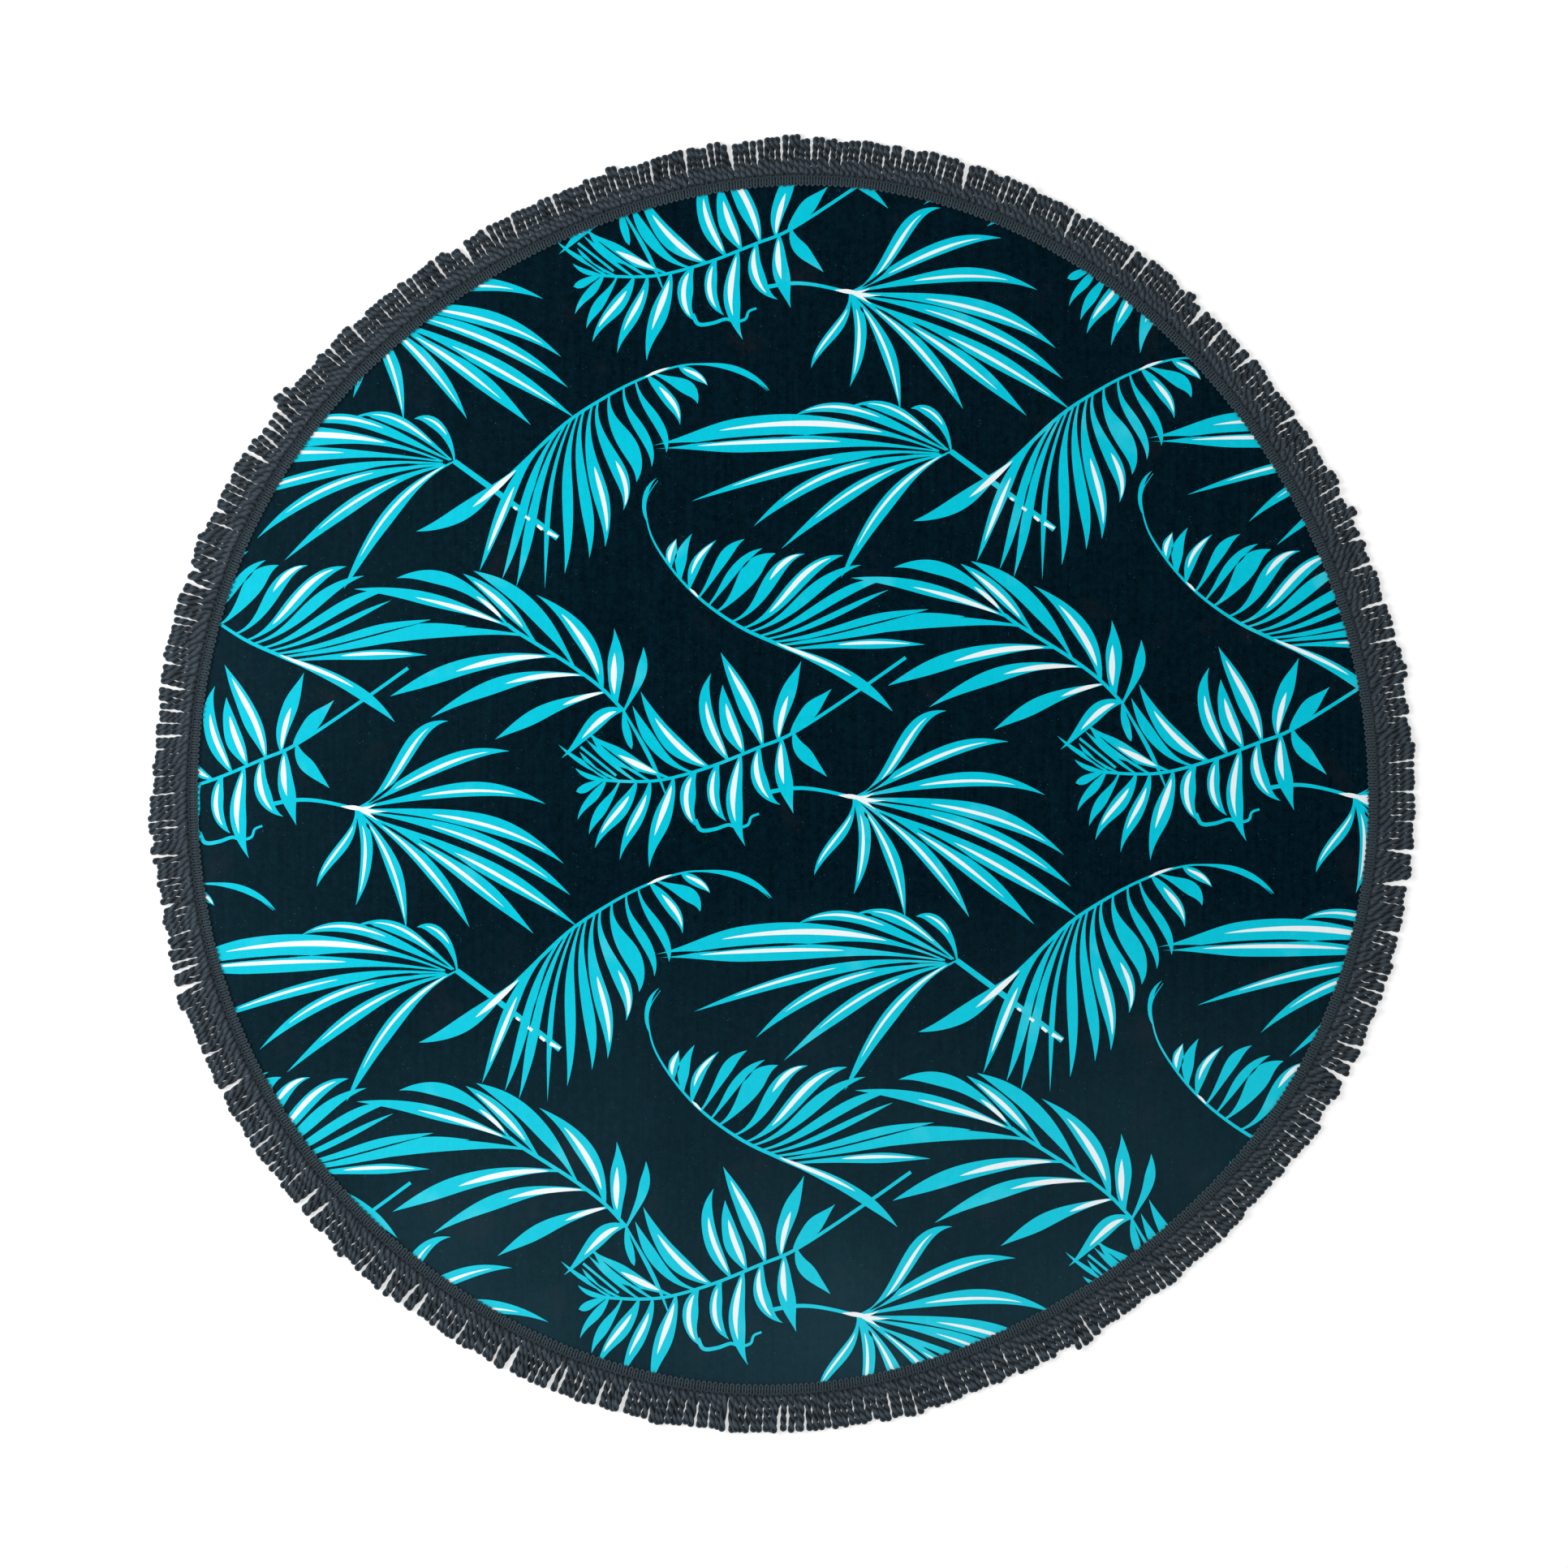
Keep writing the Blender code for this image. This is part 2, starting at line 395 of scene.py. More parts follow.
@dataclass(frozen=True)
class VelourFinish:
    """Cut pile, dyed in one ink: a soft matt nap with mottling, banding and rubbed patches.

    A paler sheen is painted on, as of pile that leans the other way; it fades in between two places along Y
    at the bottom and along X at the left.
    """

    name: str
    ink: Colour
    rubbed: Colour
    mottle: float
    # The colour and reach of the sheen painted on towards the bottom and the left; the lint specks share
    # its colour.
    sheen_and_lint_colour: Colour = (0.130, 0.34, 0.44)
    painted_sheen_share: float = 0.075
    painted_sheen_bottom: Span = (-0.12, -0.66)
    painted_sheen_left: Span = (-0.22, -0.68)
    painted_sheen_left_share: float = 0.36
    lint_share: float = 0.0
    roughness: float = 0.95
    sheen: float = 0.010
    sheen_tint: Colour = (0.62, 0.86, 1.0)

    def material(self) -> bpy.types.Material:
        """Make the finish's material.

        Returns:
            The material.
        """
        nodes = Nodes(self.name)
        nap = nodes.noise(scale=620.0, detail=3.0)
        clumps = nodes.noise(scale=150.0)
        banding = nodes.noise(scale=230.0, detail=1.0, stretch=(1.0, 0.05, 1.0))
        tone = nodes.total((nap, 0.45), (clumps, 0.35), (banding, 0.20))
        colour = nodes.mottled(tone, 0.36, 0.64, self.ink, self.mottle)
        patches = nodes.spread(nodes.noise(scale=13.0, detail=3.0), 0.60, 0.72, 0.0, 0.8)
        colour = nodes.tint(nodes.combine("MULTIPLY", patches, nap), colour, self.rubbed)
        # Paint a paler sheen towards the bottom and the left.
        colour = nodes.tint(self.painted_sheen_mask(nodes), colour, self.sheen_and_lint_colour)
        if self.lint_share > 0.0:
            colour = nodes.tint(self.lint(nodes), colour, self.sheen_and_lint_colour)
        nodes.raise_by(nodes.total((nap, 1.0), (clumps, 1.0)), distance=0.0004, strength=0.6)
        values = {
            "Roughness": self.roughness,
            "Specular IOR Level": 0.0,
            "Sheen Weight": self.sheen,
            "Sheen Roughness": 0.45,
            "Sheen Tint": (*self.sheen_tint, 1.0),
        }
        return nodes.dress(colour, values)

    def lint(self, nodes: Nodes) -> Socket:
        """Where a pale speck of fluff lies on the dark pile.

        Args:
            nodes: The material's nodes.

        Returns:
            The share of the paler tone.
        """
        near = nodes.spread(nodes.cells(scale=210.0), 0.05, 0.16, 1.0, 0.0)
        here = nodes.spread(nodes.noise(scale=60.0), 0.52, 0.66, 0.0, self.lint_share)
        return nodes.combine("MULTIPLY", near, here)

    def painted_sheen_mask(self, nodes: Nodes) -> Socket:
        """Where a paler sheen is painted on, as of pile that leans the other way: the bottom and the left.

        Args:
            nodes: The material's nodes.

        Returns:
            The share of the paler tone.
        """
        axes = nodes.axes(nodes.place)
        bottom = nodes.spread(axes["Y"], *self.painted_sheen_bottom, 0.0, 1.0)
        left = nodes.spread(axes["X"], *self.painted_sheen_left, 0.0, self.painted_sheen_left_share)
        drift = nodes.spread(nodes.noise(scale=3.2), 0.3, 0.7, 0.6, 1.2)
        reach = nodes.combine("MULTIPLY", nodes.combine("MAXIMUM", bottom, left), drift)
        return nodes.combine("MULTIPLY", reach, self.painted_sheen_share)


@dataclass(frozen=True)
class YarnFinish:
    """Matt cotton yarn: a tight twist along the strand, a little fluff, and shade painted into the creases.
    """

    name: str
    dye: Colour
    twist_map: str = "yarn_twist"
    uneven: float = 0.30
    # How dark the shade painted into the creases is, as a share of the dye.
    painted_crease_shade: float = 0.30

    def material(self) -> bpy.types.Material:
        """Make the finish's material.

        Returns:
            The material.
        """
        nodes = Nodes(self.name)
        twist = nodes.add("UVMap", uv_map=self.twist_map).outputs["UV"]
        wave = nodes.add("TexWave", wave_type="BANDS", bands_direction="X", wave_profile="SIN")
        nodes.fill(wave, {"Scale": 1.0 / math.pi})
        nodes.join(twist, wave.inputs["Vector"])
        strands = wave.outputs["Fac"]
        fluff = nodes.noise(scale=900.0)
        patches = nodes.noise(scale=28.0)
        tone = nodes.total((strands, 0.25), (fluff, 0.50), (patches, 0.25))
        colour = nodes.mottled(tone, 0.30, 0.70, self.dye, self.uneven)
        # The side of a ply that is turned into the cord's crease is painted darker, as shade.
        painted_shade_share = nodes.spread(nodes.axes(twist)["Y"], 0.0, 1.0, 1.0, 0.0)
        colour = nodes.tint(painted_shade_share, colour, shade(self.dye, self.painted_crease_shade))
        nodes.raise_by(nodes.total((strands, 0.7), (fluff, 0.5)), distance=0.0003, strength=0.4)
        values = {
            "Roughness": 0.90,
            "Specular IOR Level": 0.06,
            "Sheen Weight": 0.12,
            "Sheen Roughness": 0.50,
        }
        return nodes.dress(colour, values)


@dataclass(frozen=True)
class TerryFinish:
    """The unprinted reverse: off-white loops in rows, as velour towels have underneath."""

    name: str = "terry reverse"
    yarn: Colour = (0.62, 0.62, 0.60)
    # How dark the shade painted between the loops is, as a share of the yarn.
    painted_shade_between_loops: float = 0.66
    loops_per_metre: float = 520.0

    def material(self) -> bpy.types.Material:
        """Make the finish's material.

        Returns:
            The material.
        """
        nodes = Nodes(self.name)
        loops = nodes.cells(scale=self.loops_per_metre)
        patches = nodes.combine("MULTIPLY", nodes.noise(scale=9.0), 0.4)
        share = nodes.combine("ADD", loops, patches)
        nodes.raise_by(loops, distance=-0.0008, strength=0.8)
        # The yarn is painted darker between the loops, as the shade that falls in the pile.
        colour = nodes.tint(share, self.yarn, shade(self.yarn, self.painted_shade_between_loops))
        return nodes.dress(colour, {"Roughness": 0.95, "Sheen Weight": 0.15})


@dataclass(frozen=True)
class FloorFinish:
    """A plain pale floor: white opal acrylic, lit a little from below as on a shooting table."""

    name: str = "pale floor"
    paint: Colour = (0.54, 0.54, 0.54)
    cloudiness: float = 0.005
    glow: float = 0.52

    def material(self) -> bpy.types.Material:
        """Make the finish's material.

        Returns:
            The material.
        """
        nodes = Nodes(self.name)
        cloudy = nodes.noise(scale=0.8, detail=1.0)
        values = {
            "Roughness": 0.8,
            "Specular IOR Level": 0.0,
            "Emission Color": (1.0, 1.0, 1.0, 1.0),
            "Emission Strength": self.glow,
        }
        colour = nodes.tint(cloudy, shade(self.paint, 1.0 - self.cloudiness), self.paint)
        return nodes.dress(colour, values)


GROUND_VELOUR = VelourFinish(
    name="navy velour",
    ink=(0.0011, 0.0080, 0.0134),
    rubbed=(0.0110, 0.0110, 0.0150),
    mottle=0.55,
    # It takes the default painted sheen, paler towards the bottom and the left.
    lint_share=0.22,
)
LEAF_VELOUR = VelourFinish(
    name="turquoise velour",
    ink=(0.0026, 0.4980, 0.6320),
    rubbed=(0.0700, 0.5900, 0.7000),
    mottle=0.06,
    # The leaves' paler tone towards the bottom and the left is painted sheen.
    sheen_and_lint_colour=(0.15, 0.80, 0.92),
    painted_sheen_share=0.11,
)
WHITE_VELOUR = VelourFinish(
    name="white velour",
    ink=(0.765, 0.825, 0.832),
    rubbed=(0.82, 0.86, 0.865),
    mottle=0.03,
    # The white's paler tone towards the bottom and the left is painted sheen.
    sheen_and_lint_colour=(0.80, 0.85, 0.855),
)
# The cords' yarn has shade painted into the creases between its plies.
CORD_YARN = YarnFinish(name="slate cord", dye=(0.0410, 0.0570, 0.0715), painted_crease_shade=0.06)
GIMP_YARN = YarnFinish(name="slate gimp", dye=(0.0330, 0.0530, 0.0650))
BAND_YARN = YarnFinish(name="slate band", dye=(0.0250, 0.0390, 0.0480))
# The dark strip under the heading's loops, which makes the slots between them dark.
DARK_STRIP_YARN = YarnFinish(name="dark strip", dye=(0.0190, 0.0350, 0.0460))

Finish = VelourFinish | YarnFinish | TerryFinish | FloorFinish


# ---------------------------------------------------------------- the leaf print, in millimetres


class Ink(Enum):
    """What a place of the print is dyed with. Of two that overlap, the one with more shows."""

    GROUND = 0
    LEAF = 1
    WHITE = 2
    SLIT = 3


class Velour(Enum):
    """The cloth's material places."""

    NAVY = 0
    TURQUOISE = 1
    WHITE = 2
    REVERSE = 3


VELOUR_OF = {
    Ink.GROUND: Velour.NAVY,
    Ink.LEAF: Velour.TURQUOISE,
    Ink.WHITE: Velour.WHITE,
    Ink.SLIT: Velour.NAVY,
}


class Cut(Enum):
    """A leaf's outline: where it is widest, how slowly it swells and how slim its tip is."""

    SLIM = (0.56, 1.7, 1.0)
    PADDLE = (0.70, 2.0, 2.0)
    CLUB = (0.62, 1.7, 1.0)
    OVAL = (0.45, 0.9, 1.1)
    LANCE = (0.34, 0.8, 1.2)
    BLUNT = (0.62, 0.9, 0.45)


class Leaflet(NamedTuple):
    """One leaf of a fan or a feather, as millimetres and degrees.

    The leaf leaves its root and arrives at its tip turned by so much from the straight line
    between them, which runs in the direction of heading.  Its white streak runs between two
    shares of its length, and a leaf whose streak ends at 0 has none.
    """

    at: float
    length: float
    heading: float
    leaves: float
    arrives: float
    width: float
    cut: Cut
    streak_from: float = 0.0
    streak_to: float = 0.0
    ink: Ink = Ink.LEAF


def turned(angle_deg: float) -> Vector:
    """The unit vector in a direction."""
    return Vector((math.cos(math.radians(angle_deg)), math.sin(math.radians(angle_deg))))


def bezier(a: Vector, b: Vector, c: Vector, d: Vector, t: float) -> Vector:
    """The place at share t of a cubic curve."""
    s = 1.0 - t
    return s * s * s * a + 3.0 * s * s * t * b + 3.0 * s * t * t * c + t * t * t * d


def ribbon(line: Sequence[Vector], half_at: Callable[[float], float]) -> tuple[Point, ...]:
    """Outline a strip that runs along a line.

    Args:
        line: The strip's middle line.
        half_at: Half its width at a share of its steps.

    Returns:
        The outline, up one side and back down the other.
    """
    left = []
    right = []
    last = len(line) - 1
    for index, place in enumerate(line):
        ahead = line[min(last, index + 1)] - line[max(0, index - 1)]
        across = half_at(index / last) * ahead.normalized().orthogonal()
        left.append(tuple(place + across))
        right.append(tuple(place - across))
    return tuple(left + right[::-1])


@dataclass(frozen=True)
class Curve:
    """A smooth curve through a few points, walked by share of its length."""

    points: tuple[Point, ...]
    steps_a_span: int = 8

    def walked(self) -> list[Vector]:
        """Walk along the curve.

        Returns:
            Closely spaced places on it.
        """
        ends = [Vector(p) for p in self.points]
        ends = [2.0 * ends[0] - ends[1], *ends, 2.0 * ends[-1] - ends[-2]]
        places = []
        for before, start, end, after in zip(ends, ends[1:], ends[2:], ends[3:]):
            lead_out = start + (end - before) / 6.0
            lead_in = end - (after - start) / 6.0
            for step in range(self.steps_a_span):
                places.append(bezier(start, lead_out, lead_in, end, step / self.steps_a_span))
        places.append(ends[-2])
        return places

    def place_at(self, share: float) -> Vector:
        """Find a place on the curve.

        Args:
            share: The share of the whole length.

        Returns:
            The place.
        """
        places = self.walked()
        lengths = [(b - a).length for a, b in zip(places, places[1:])]
        left = share * sum(lengths)
        for start, end, length in zip(places, places[1:], lengths):
            if left <= length:
                return start.lerp(end, left / length)
            left -= length
        return places[-1]


@dataclass(frozen=True)
class Shape:
    """One closed outline of the print and the ink that fills it."""

    ink: Ink
    outline: tuple[Point, ...]


def swelling(t: float, cut: Cut, root_share: float) -> float:
    """How wide a leaf is at a share of its length, against its greatest width.

    Args:
        t: Share of the length, from the root.
        cut: The leaf's outline.
        root_share: Width at the root.

    Returns:
        A share from 0 at the pointed tip to 1 at the widest place.
    """
    widest, slowness, slimness = cut.value
    quarter_turn = 0.5 * math.pi
    if t < widest:
        return root_share + (1.0 - root_share) * math.sin(quarter_turn * max(0.0, t) / widest) ** slowness
    return max(0.0, math.cos(quarter_turn * min(1.0, (t - widest) / (1.0 - widest)))) ** slimness


@dataclass(frozen=True)
class Blade:
    """One slim pointed leaf along a curve, with a white streak a little off its middle."""

    root: Vector
    leaflet: Leaflet
    root_width: float
    streak_share: float
    streak_side: float
    lean: float = 0.36
    step: float = 5.0
    fewest_steps: int = 10
    look_ahead: float = 0.01
    blunt_white: float = 0.2
    bluntest_root: float = 0.8
    uneven: float = 0.09
    wavers: float = 8.2
    wavers_apart: float = 1.3
    waver_by_length: float = 0.7
    waver_by_side: float = 2.0
    streak_off_middle: float = 0.10
    streak_lead: float = 0.9
    streak_fullness: float = 0.75
    streak_drift: float = 0.25
    streak_drifts: float = 9.0

    def middle(self, t: float) -> Vector:
        """Find a place on the leaf's middle line.

        Args:
            t: The share of its length.

        Returns:
            The place.
        """
        leaf = self.leaflet
        tip = self.root + leaf.length * turned(leaf.heading)
        out = self.root + self.lean * leaf.length * turned(leaf.heading + leaf.leaves)
        back = tip - self.lean * leaf.length * turned(leaf.heading + leaf.arrives)
        return bezier(self.root, out, back, tip, t)

    def beside(self, t: float, sideways: float) -> Point:
        """Find a place beside the middle line.

        Args:
            t: The share of the leaf's length.
            sideways: How far to the left of its travel.

        Returns:
            The place.
        """
        ahead = self.middle(min(1.0, t + self.look_ahead)) - self.middle(max(0.0, t - self.look_ahead))
        ahead.normalize()
        place = self.middle(t)
        return place.x - sideways * ahead.y, place.y + sideways * ahead.x

    def width_at(self, t: float) -> float:
        """Work out the leaf's width.

        Args:
            t: The share of its length.

        Returns:
            The width there.
        """
        blunt = self.blunt_white if self.leaflet.ink is Ink.WHITE else self.root_width
        root_share = min(self.bluntest_root, blunt / self.leaflet.width)
        return self.leaflet.width * swelling(t, self.leaflet.cut, root_share)

    def hand(self, t: float, side: float) -> float:
        """How a hand-cut edge wavers, as a factor near 1 that differs on the two sides."""
        start = self.waver_by_length * self.leaflet.length + self.waver_by_side * side
        return 1.0 + self.uneven * math.sin(start + (self.wavers + self.wavers_apart * side) * t)

    def shares(self, start: float, end: float) -> list[float]:
        """Even places along a stretch of the leaf, closer together on a short one."""
        count = max(self.fewest_steps, round((end - start) * self.leaflet.length / self.step))
        return [start + (end - start) * step / count for step in range(count + 1)]

    def shapes(self) -> Iterator[Shape]:
        """Draw the leaf.

        Yields:
            The leaf, then its streak if it has one.
        """
        shares = self.shares(0.0, 1.0)
        left = [self.beside(t, 0.5 * self.width_at(t) * self.hand(t, 1.0)) for t in shares]
        right = [self.beside(t, -0.5 * self.width_at(t) * self.hand(t, -1.0)) for t in shares]
        yield Shape(self.leaflet.ink, tuple(left + right[-2::-1]))
        if self.leaflet.streak_to > 0.0:
            yield self.streak()

    def streak(self) -> Shape:
        """Draw the white streak, which swells and thins out within the leaf.

        Returns:
            The streak.
        """
        start, end = self.leaflet.streak_from, self.leaflet.streak_to
        widest = 0.5 * self.streak_share * self.leaflet.width
        left = []
        right = []
        for t in self.shares(start, end):
            along = min(1.0, max(0.0, (t - start) / (end - start)))
            swell = max(0.0, math.sin(math.pi * along ** self.streak_lead)) ** self.streak_fullness
            half = widest * swell * self.hand(t, 2.0)
            middle = self.streak_side * self.streak_off_middle * self.width_at(t)
            middle += self.streak_drift * math.sin(self.streak_drifts * t + self.leaflet.length)
            left.append(self.beside(t, middle + half))
            right.append(self.beside(t, middle - half))
        return Shape(Ink.WHITE, tuple(left + right[-2:0:-1]))


@dataclass(frozen=True)
class Stem:
    """A thin stalk through a few points, which tapers from its start to its end."""

    points: tuple[Point, ...]
    start_width: float
    end_width: float
    ink: Ink = Ink.LEAF
    steps_a_span: int = 5

    def shapes(self) -> Iterator[Shape]:
        """The stalk's one shape."""
        places = Curve(self.points, self.steps_a_span).walked()
        yield Shape(self.ink, ribbon(places, self.half_at))

    def half_at(self, share: float) -> float:
        """Half the stalk's width at a share of its length."""
        return 0.5 * (self.start_width + (self.end_width - self.start_width) * share)


@dataclass(frozen=True)
class Gap:
    """The dark gap that keeps neighbouring leaves apart where they would touch, in millimetres."""

    opens_at: float
    width: float
    ends_at_share: float = 0.94
    touching_within: float = 0.6
    places_beyond: int = 40
    shortest_line: int = 3
    start_share: float = 0.12
    start_growth: float = 4.0
    end_share: float = 0.25
    end_growth: float = 3.0

    def between(self, one: Blade, other: Blade, inner: float) -> Iterator[Shape]:
        """Keep two neighbours apart.

        Args:
            one: A leaf.
            other: Its neighbour.
            inner: How much further out the gap opens than at leaves that start at the hub.

        Yields:
            Each stretch of the gap.
        """
        line: list[Vector] = []
        beyond = [step / self.places_beyond for step in range(self.places_beyond + 1)]
        places = [other.middle(share) for share in beyond]
        count = round(self.ends_at_share * one.leaflet.length / one.step)
        for index in range(count + 1):
            t = index / max(1, count) * self.ends_at_share
            here = one.middle(t)
            nearest = min(range(len(places)), key=lambda number: (places[number] - here).length)
            across = places[nearest] - here
            near_width, far_width = one.width_at(t), other.width_at(beyond[nearest])
            close = across.length - 0.5 * (near_width + far_width) < self.touching_within * self.width
            beside = 0 < nearest < self.places_beyond - 1 and t * one.leaflet.length > self.opens_at + inner
            if close and beside:
                line.append(here + across * near_width / (near_width + far_width))
            if line and (not (close and beside) or index == count):
                if len(line) >= self.shortest_line:
                    yield Shape(Ink.SLIT, ribbon(line, self.half_at))
                line = []

    def half_at(self, share: float) -> float:
        """Half the gap's width at a share of its length: it is pointed at both ends."""
        near_start = self.start_share + self.start_growth * share
        return 0.5 * self.width * min(1.0, near_start, self.end_share + self.end_growth * (1.0 - share))


@dataclass(frozen=True, kw_only=True)
class Bunch:
    """Leaves that grow together, with a dark gap between neighbours."""

    leaflets: tuple[Leaflet, ...]
    root_width: float
    streak_share: float
    streak_side: float
    gap: Gap
    gap_moves_out: float = 0.0
    neighbours_within_deg: float = 360.0

    def root_of(self, leaflet: Leaflet) -> Vector:
        """Where a leaf starts, which each kind of bunch settles in its own way."""
        raise NotImplementedError

    def shapes(self) -> Iterator[Shape]:
        """Draw the leaves.

        Yields:
            The leaves, their streaks and the gaps between neighbours.
        """
        before = None
        for leaflet in self.leaflets:
            root = self.root_of(leaflet)
            blade = Blade(root, leaflet, self.root_width, self.streak_share, self.streak_side)
            yield from blade.shapes()
            if before and leaflet.ink is Ink.LEAF:
                if abs(leaflet.heading - before.leaflet.heading) < self.neighbours_within_deg:
                    inner = self.gap_moves_out * (before.leaflet.at + leaflet.at)
                    yield from self.gap.between(before, blade, inner)
            before = blade


@dataclass(frozen=True, kw_only=True)
class Fan(Bunch):
    """Leaves that spread from one hub, each from its own distance out."""

    hub: Point
    root_width: float = 2.0
    streak_share: float = 0.23
    streak_side: float = -1.0
    gap: Gap = Gap(opens_at=15.0, width=3.4)
    gap_moves_out: float = 0.8

    def root_of(self, leaflet: Leaflet) -> Vector:
        """Where a leaf starts: so far out from the hub, the way it points."""
        return Vector(self.hub) + leaflet.at * turned(leaflet.heading)


@dataclass(frozen=True, kw_only=True)
class Feather(Bunch):
    """Leaves along a curved spine."""

    spine: tuple[Point, ...]
    spine_widths: Span
    root_width: float = 2.2
    streak_share: float = 0.34
    streak_side: float = 1.0
    gap: Gap = Gap(opens_at=9.0, width=2.0)
    neighbours_within_deg: float = 28.0

    def root_of(self, leaflet: Leaflet) -> Vector:
        """Where a leaf starts: at a share of the spine's length."""
        return Curve(self.spine).place_at(leaflet.at)

    def shapes(self) -> Iterator[Shape]:
        """The feather's spine, then what every bunch has."""
        yield from Stem(self.spine, *self.spine_widths).shapes()
        yield from super().shapes()


OPEN_FAN = Fan(
    hub=(83.0, -12.0),
    leaflets=(
        #       at   length heading leaves arrives width cut   streak
        Leaflet(0, 150, 43, -30, -42, 16.5, Cut.SLIM, 0.25, 0.83),
        Leaflet(0, 194, 20, 4, -24, 16.5, Cut.SLIM, 0.25, 0.88),
        Leaflet(0, 225, 1, 9, -27, 16, Cut.CLUB, 0.33, 0.84),
        Leaflet(4, 251, -15, 13, -25, 18.5, Cut.CLUB, 0.33, 0.90),
        Leaflet(10, 264, -22, 14, -18, 17.5, Cut.CLUB, 0.30, 0.88),
        Leaflet(30, 268, -28, 8, -10, 18, Cut.SLIM, 0.36, 0.90),
        Leaflet(8, 249, -35, 10, -10, 18, Cut.CLUB, 0.30, 0.82),
        Leaflet(0, 194, -46, 16, -16, 17, Cut.SLIM, 0.18, 0.90),
        Leaflet(0, 153, -67, 22, -18, 15, Cut.SLIM, 0.15, 0.93),
        Leaflet(0, 113, -90, 30, -20, 15, Cut.OVAL, 0.18, 0.88),
        Leaflet(0, 102, -117, 34, 12, 12.5, Cut.SLIM, 0.20, 0.88),
        Leaflet(-18, 40, -9, 4, -4, 5.4, Cut.OVAL, ink=Ink.WHITE),
        Leaflet(0, 38, -5, -8, 8, 4.4, Cut.LANCE, ink=Ink.WHITE),
        Leaflet(3, 22, 13, -20, 20, 3, Cut.LANCE, ink=Ink.WHITE),
        Leaflet(2, 28, -29, 14, -10, 3.2, Cut.LANCE, ink=Ink.WHITE),
    ),
)

SWEPT_FAN = Fan(
    hub=(200.0, 398.0),
    gap=Gap(opens_at=4.0, width=3.4),
    leaflets=(
        #       at   length heading leaves arrives width cut   streak
        Leaflet(0, 70, 133, -40, 62, 12, Cut.CLUB, 0.40, 0.85),
        Leaflet(4, 125, 155, -15, 37, 13, Cut.CLUB, 0.22, 0.86),
        Leaflet(6, 184, 167, -12, 38, 13.5, Cut.CLUB, 0.44, 0.93),
        Leaflet(14, 342, 179, -22, 13, 29, Cut.PADDLE, 0.20, 0.77),
        Leaflet(16, 334, 179.5, -8, 3, 20.5, Cut.PADDLE, 0.34, 0.86),
        Leaflet(14, 299, 191, -15, 9, 13, Cut.SLIM, 0.42, 0.84),
        Leaflet(12, 239, 201, -20, 24, 14, Cut.SLIM, 0.34, 0.82),
        Leaflet(8, 225, 210, -20, 12, 14, Cut.SLIM, 0.27, 0.77),
        Leaflet(0, 200, 229, -24, 13, 16, Cut.SLIM, 0.06, 0.80),
    ),
)

DROOPING_FEATHER = Feather(
    spine=(
        (-346, 346), (-308, 382), (-256, 431), (-208, 463), (-170, 483), (-133, 497),
        (-101, 502), (-62, 497), (-39, 486), (-18, 470),
    ),
    spine_widths=(5.0, 0.5),
    leaflets=(
        #       at    length heading leaves arrives width cut   streak
        Leaflet(0.13, 145, -148, 9, -20, 18, Cut.CLUB, 0.04, 0.50),
        Leaflet(0.24, 173, -117, -18, 5, 14, Cut.SLIM, 0.38, 0.86),
        Leaflet(0.30, 192, -111, -17, -1, 11.5, Cut.CLUB),
        Leaflet(0.325, 204, -107, -15, 1, 11.5, Cut.CLUB),
        Leaflet(0.345, 205, -99, -16, 7, 6, Cut.SLIM),
        Leaflet(0.37, 191, -95, -17, -5, 13, Cut.CLUB),
        Leaflet(0.39, 176, -88, -20, -8, 14, Cut.CLUB),
        Leaflet(0.42, 170, -85, -23, -13, 17, Cut.CLUB, 0.44, 0.90),
        Leaflet(0.44, 133, -77, -28, -31, 16, Cut.CLUB, 0.55, 0.96),
        Leaflet(0.48, 109, -73, -27, -32, 20, Cut.CLUB),
        Leaflet(0.53, 101, -71, -24, -27, 11.5, Cut.CLUB),
        Leaflet(0.57, 93, -67, -13, -28, 11.5, Cut.CLUB),
        Leaflet(0.61, 70, -57, 7, -28, 14.5, Cut.OVAL, 0.25, 0.90),
        Leaflet(0.63, 63, -35, 12, -47, 15.5, Cut.CLUB),
        Leaflet(0.71, 41, -35, -5, -23, 12, Cut.OVAL, 0.12, 0.95),
        Leaflet(0.76, 93, -20, 22, -26, 8, Cut.CLUB),
        Leaflet(0.60, 32, 22, 4, -4, 3.5, Cut.OVAL, ink=Ink.WHITE),
    ),
)

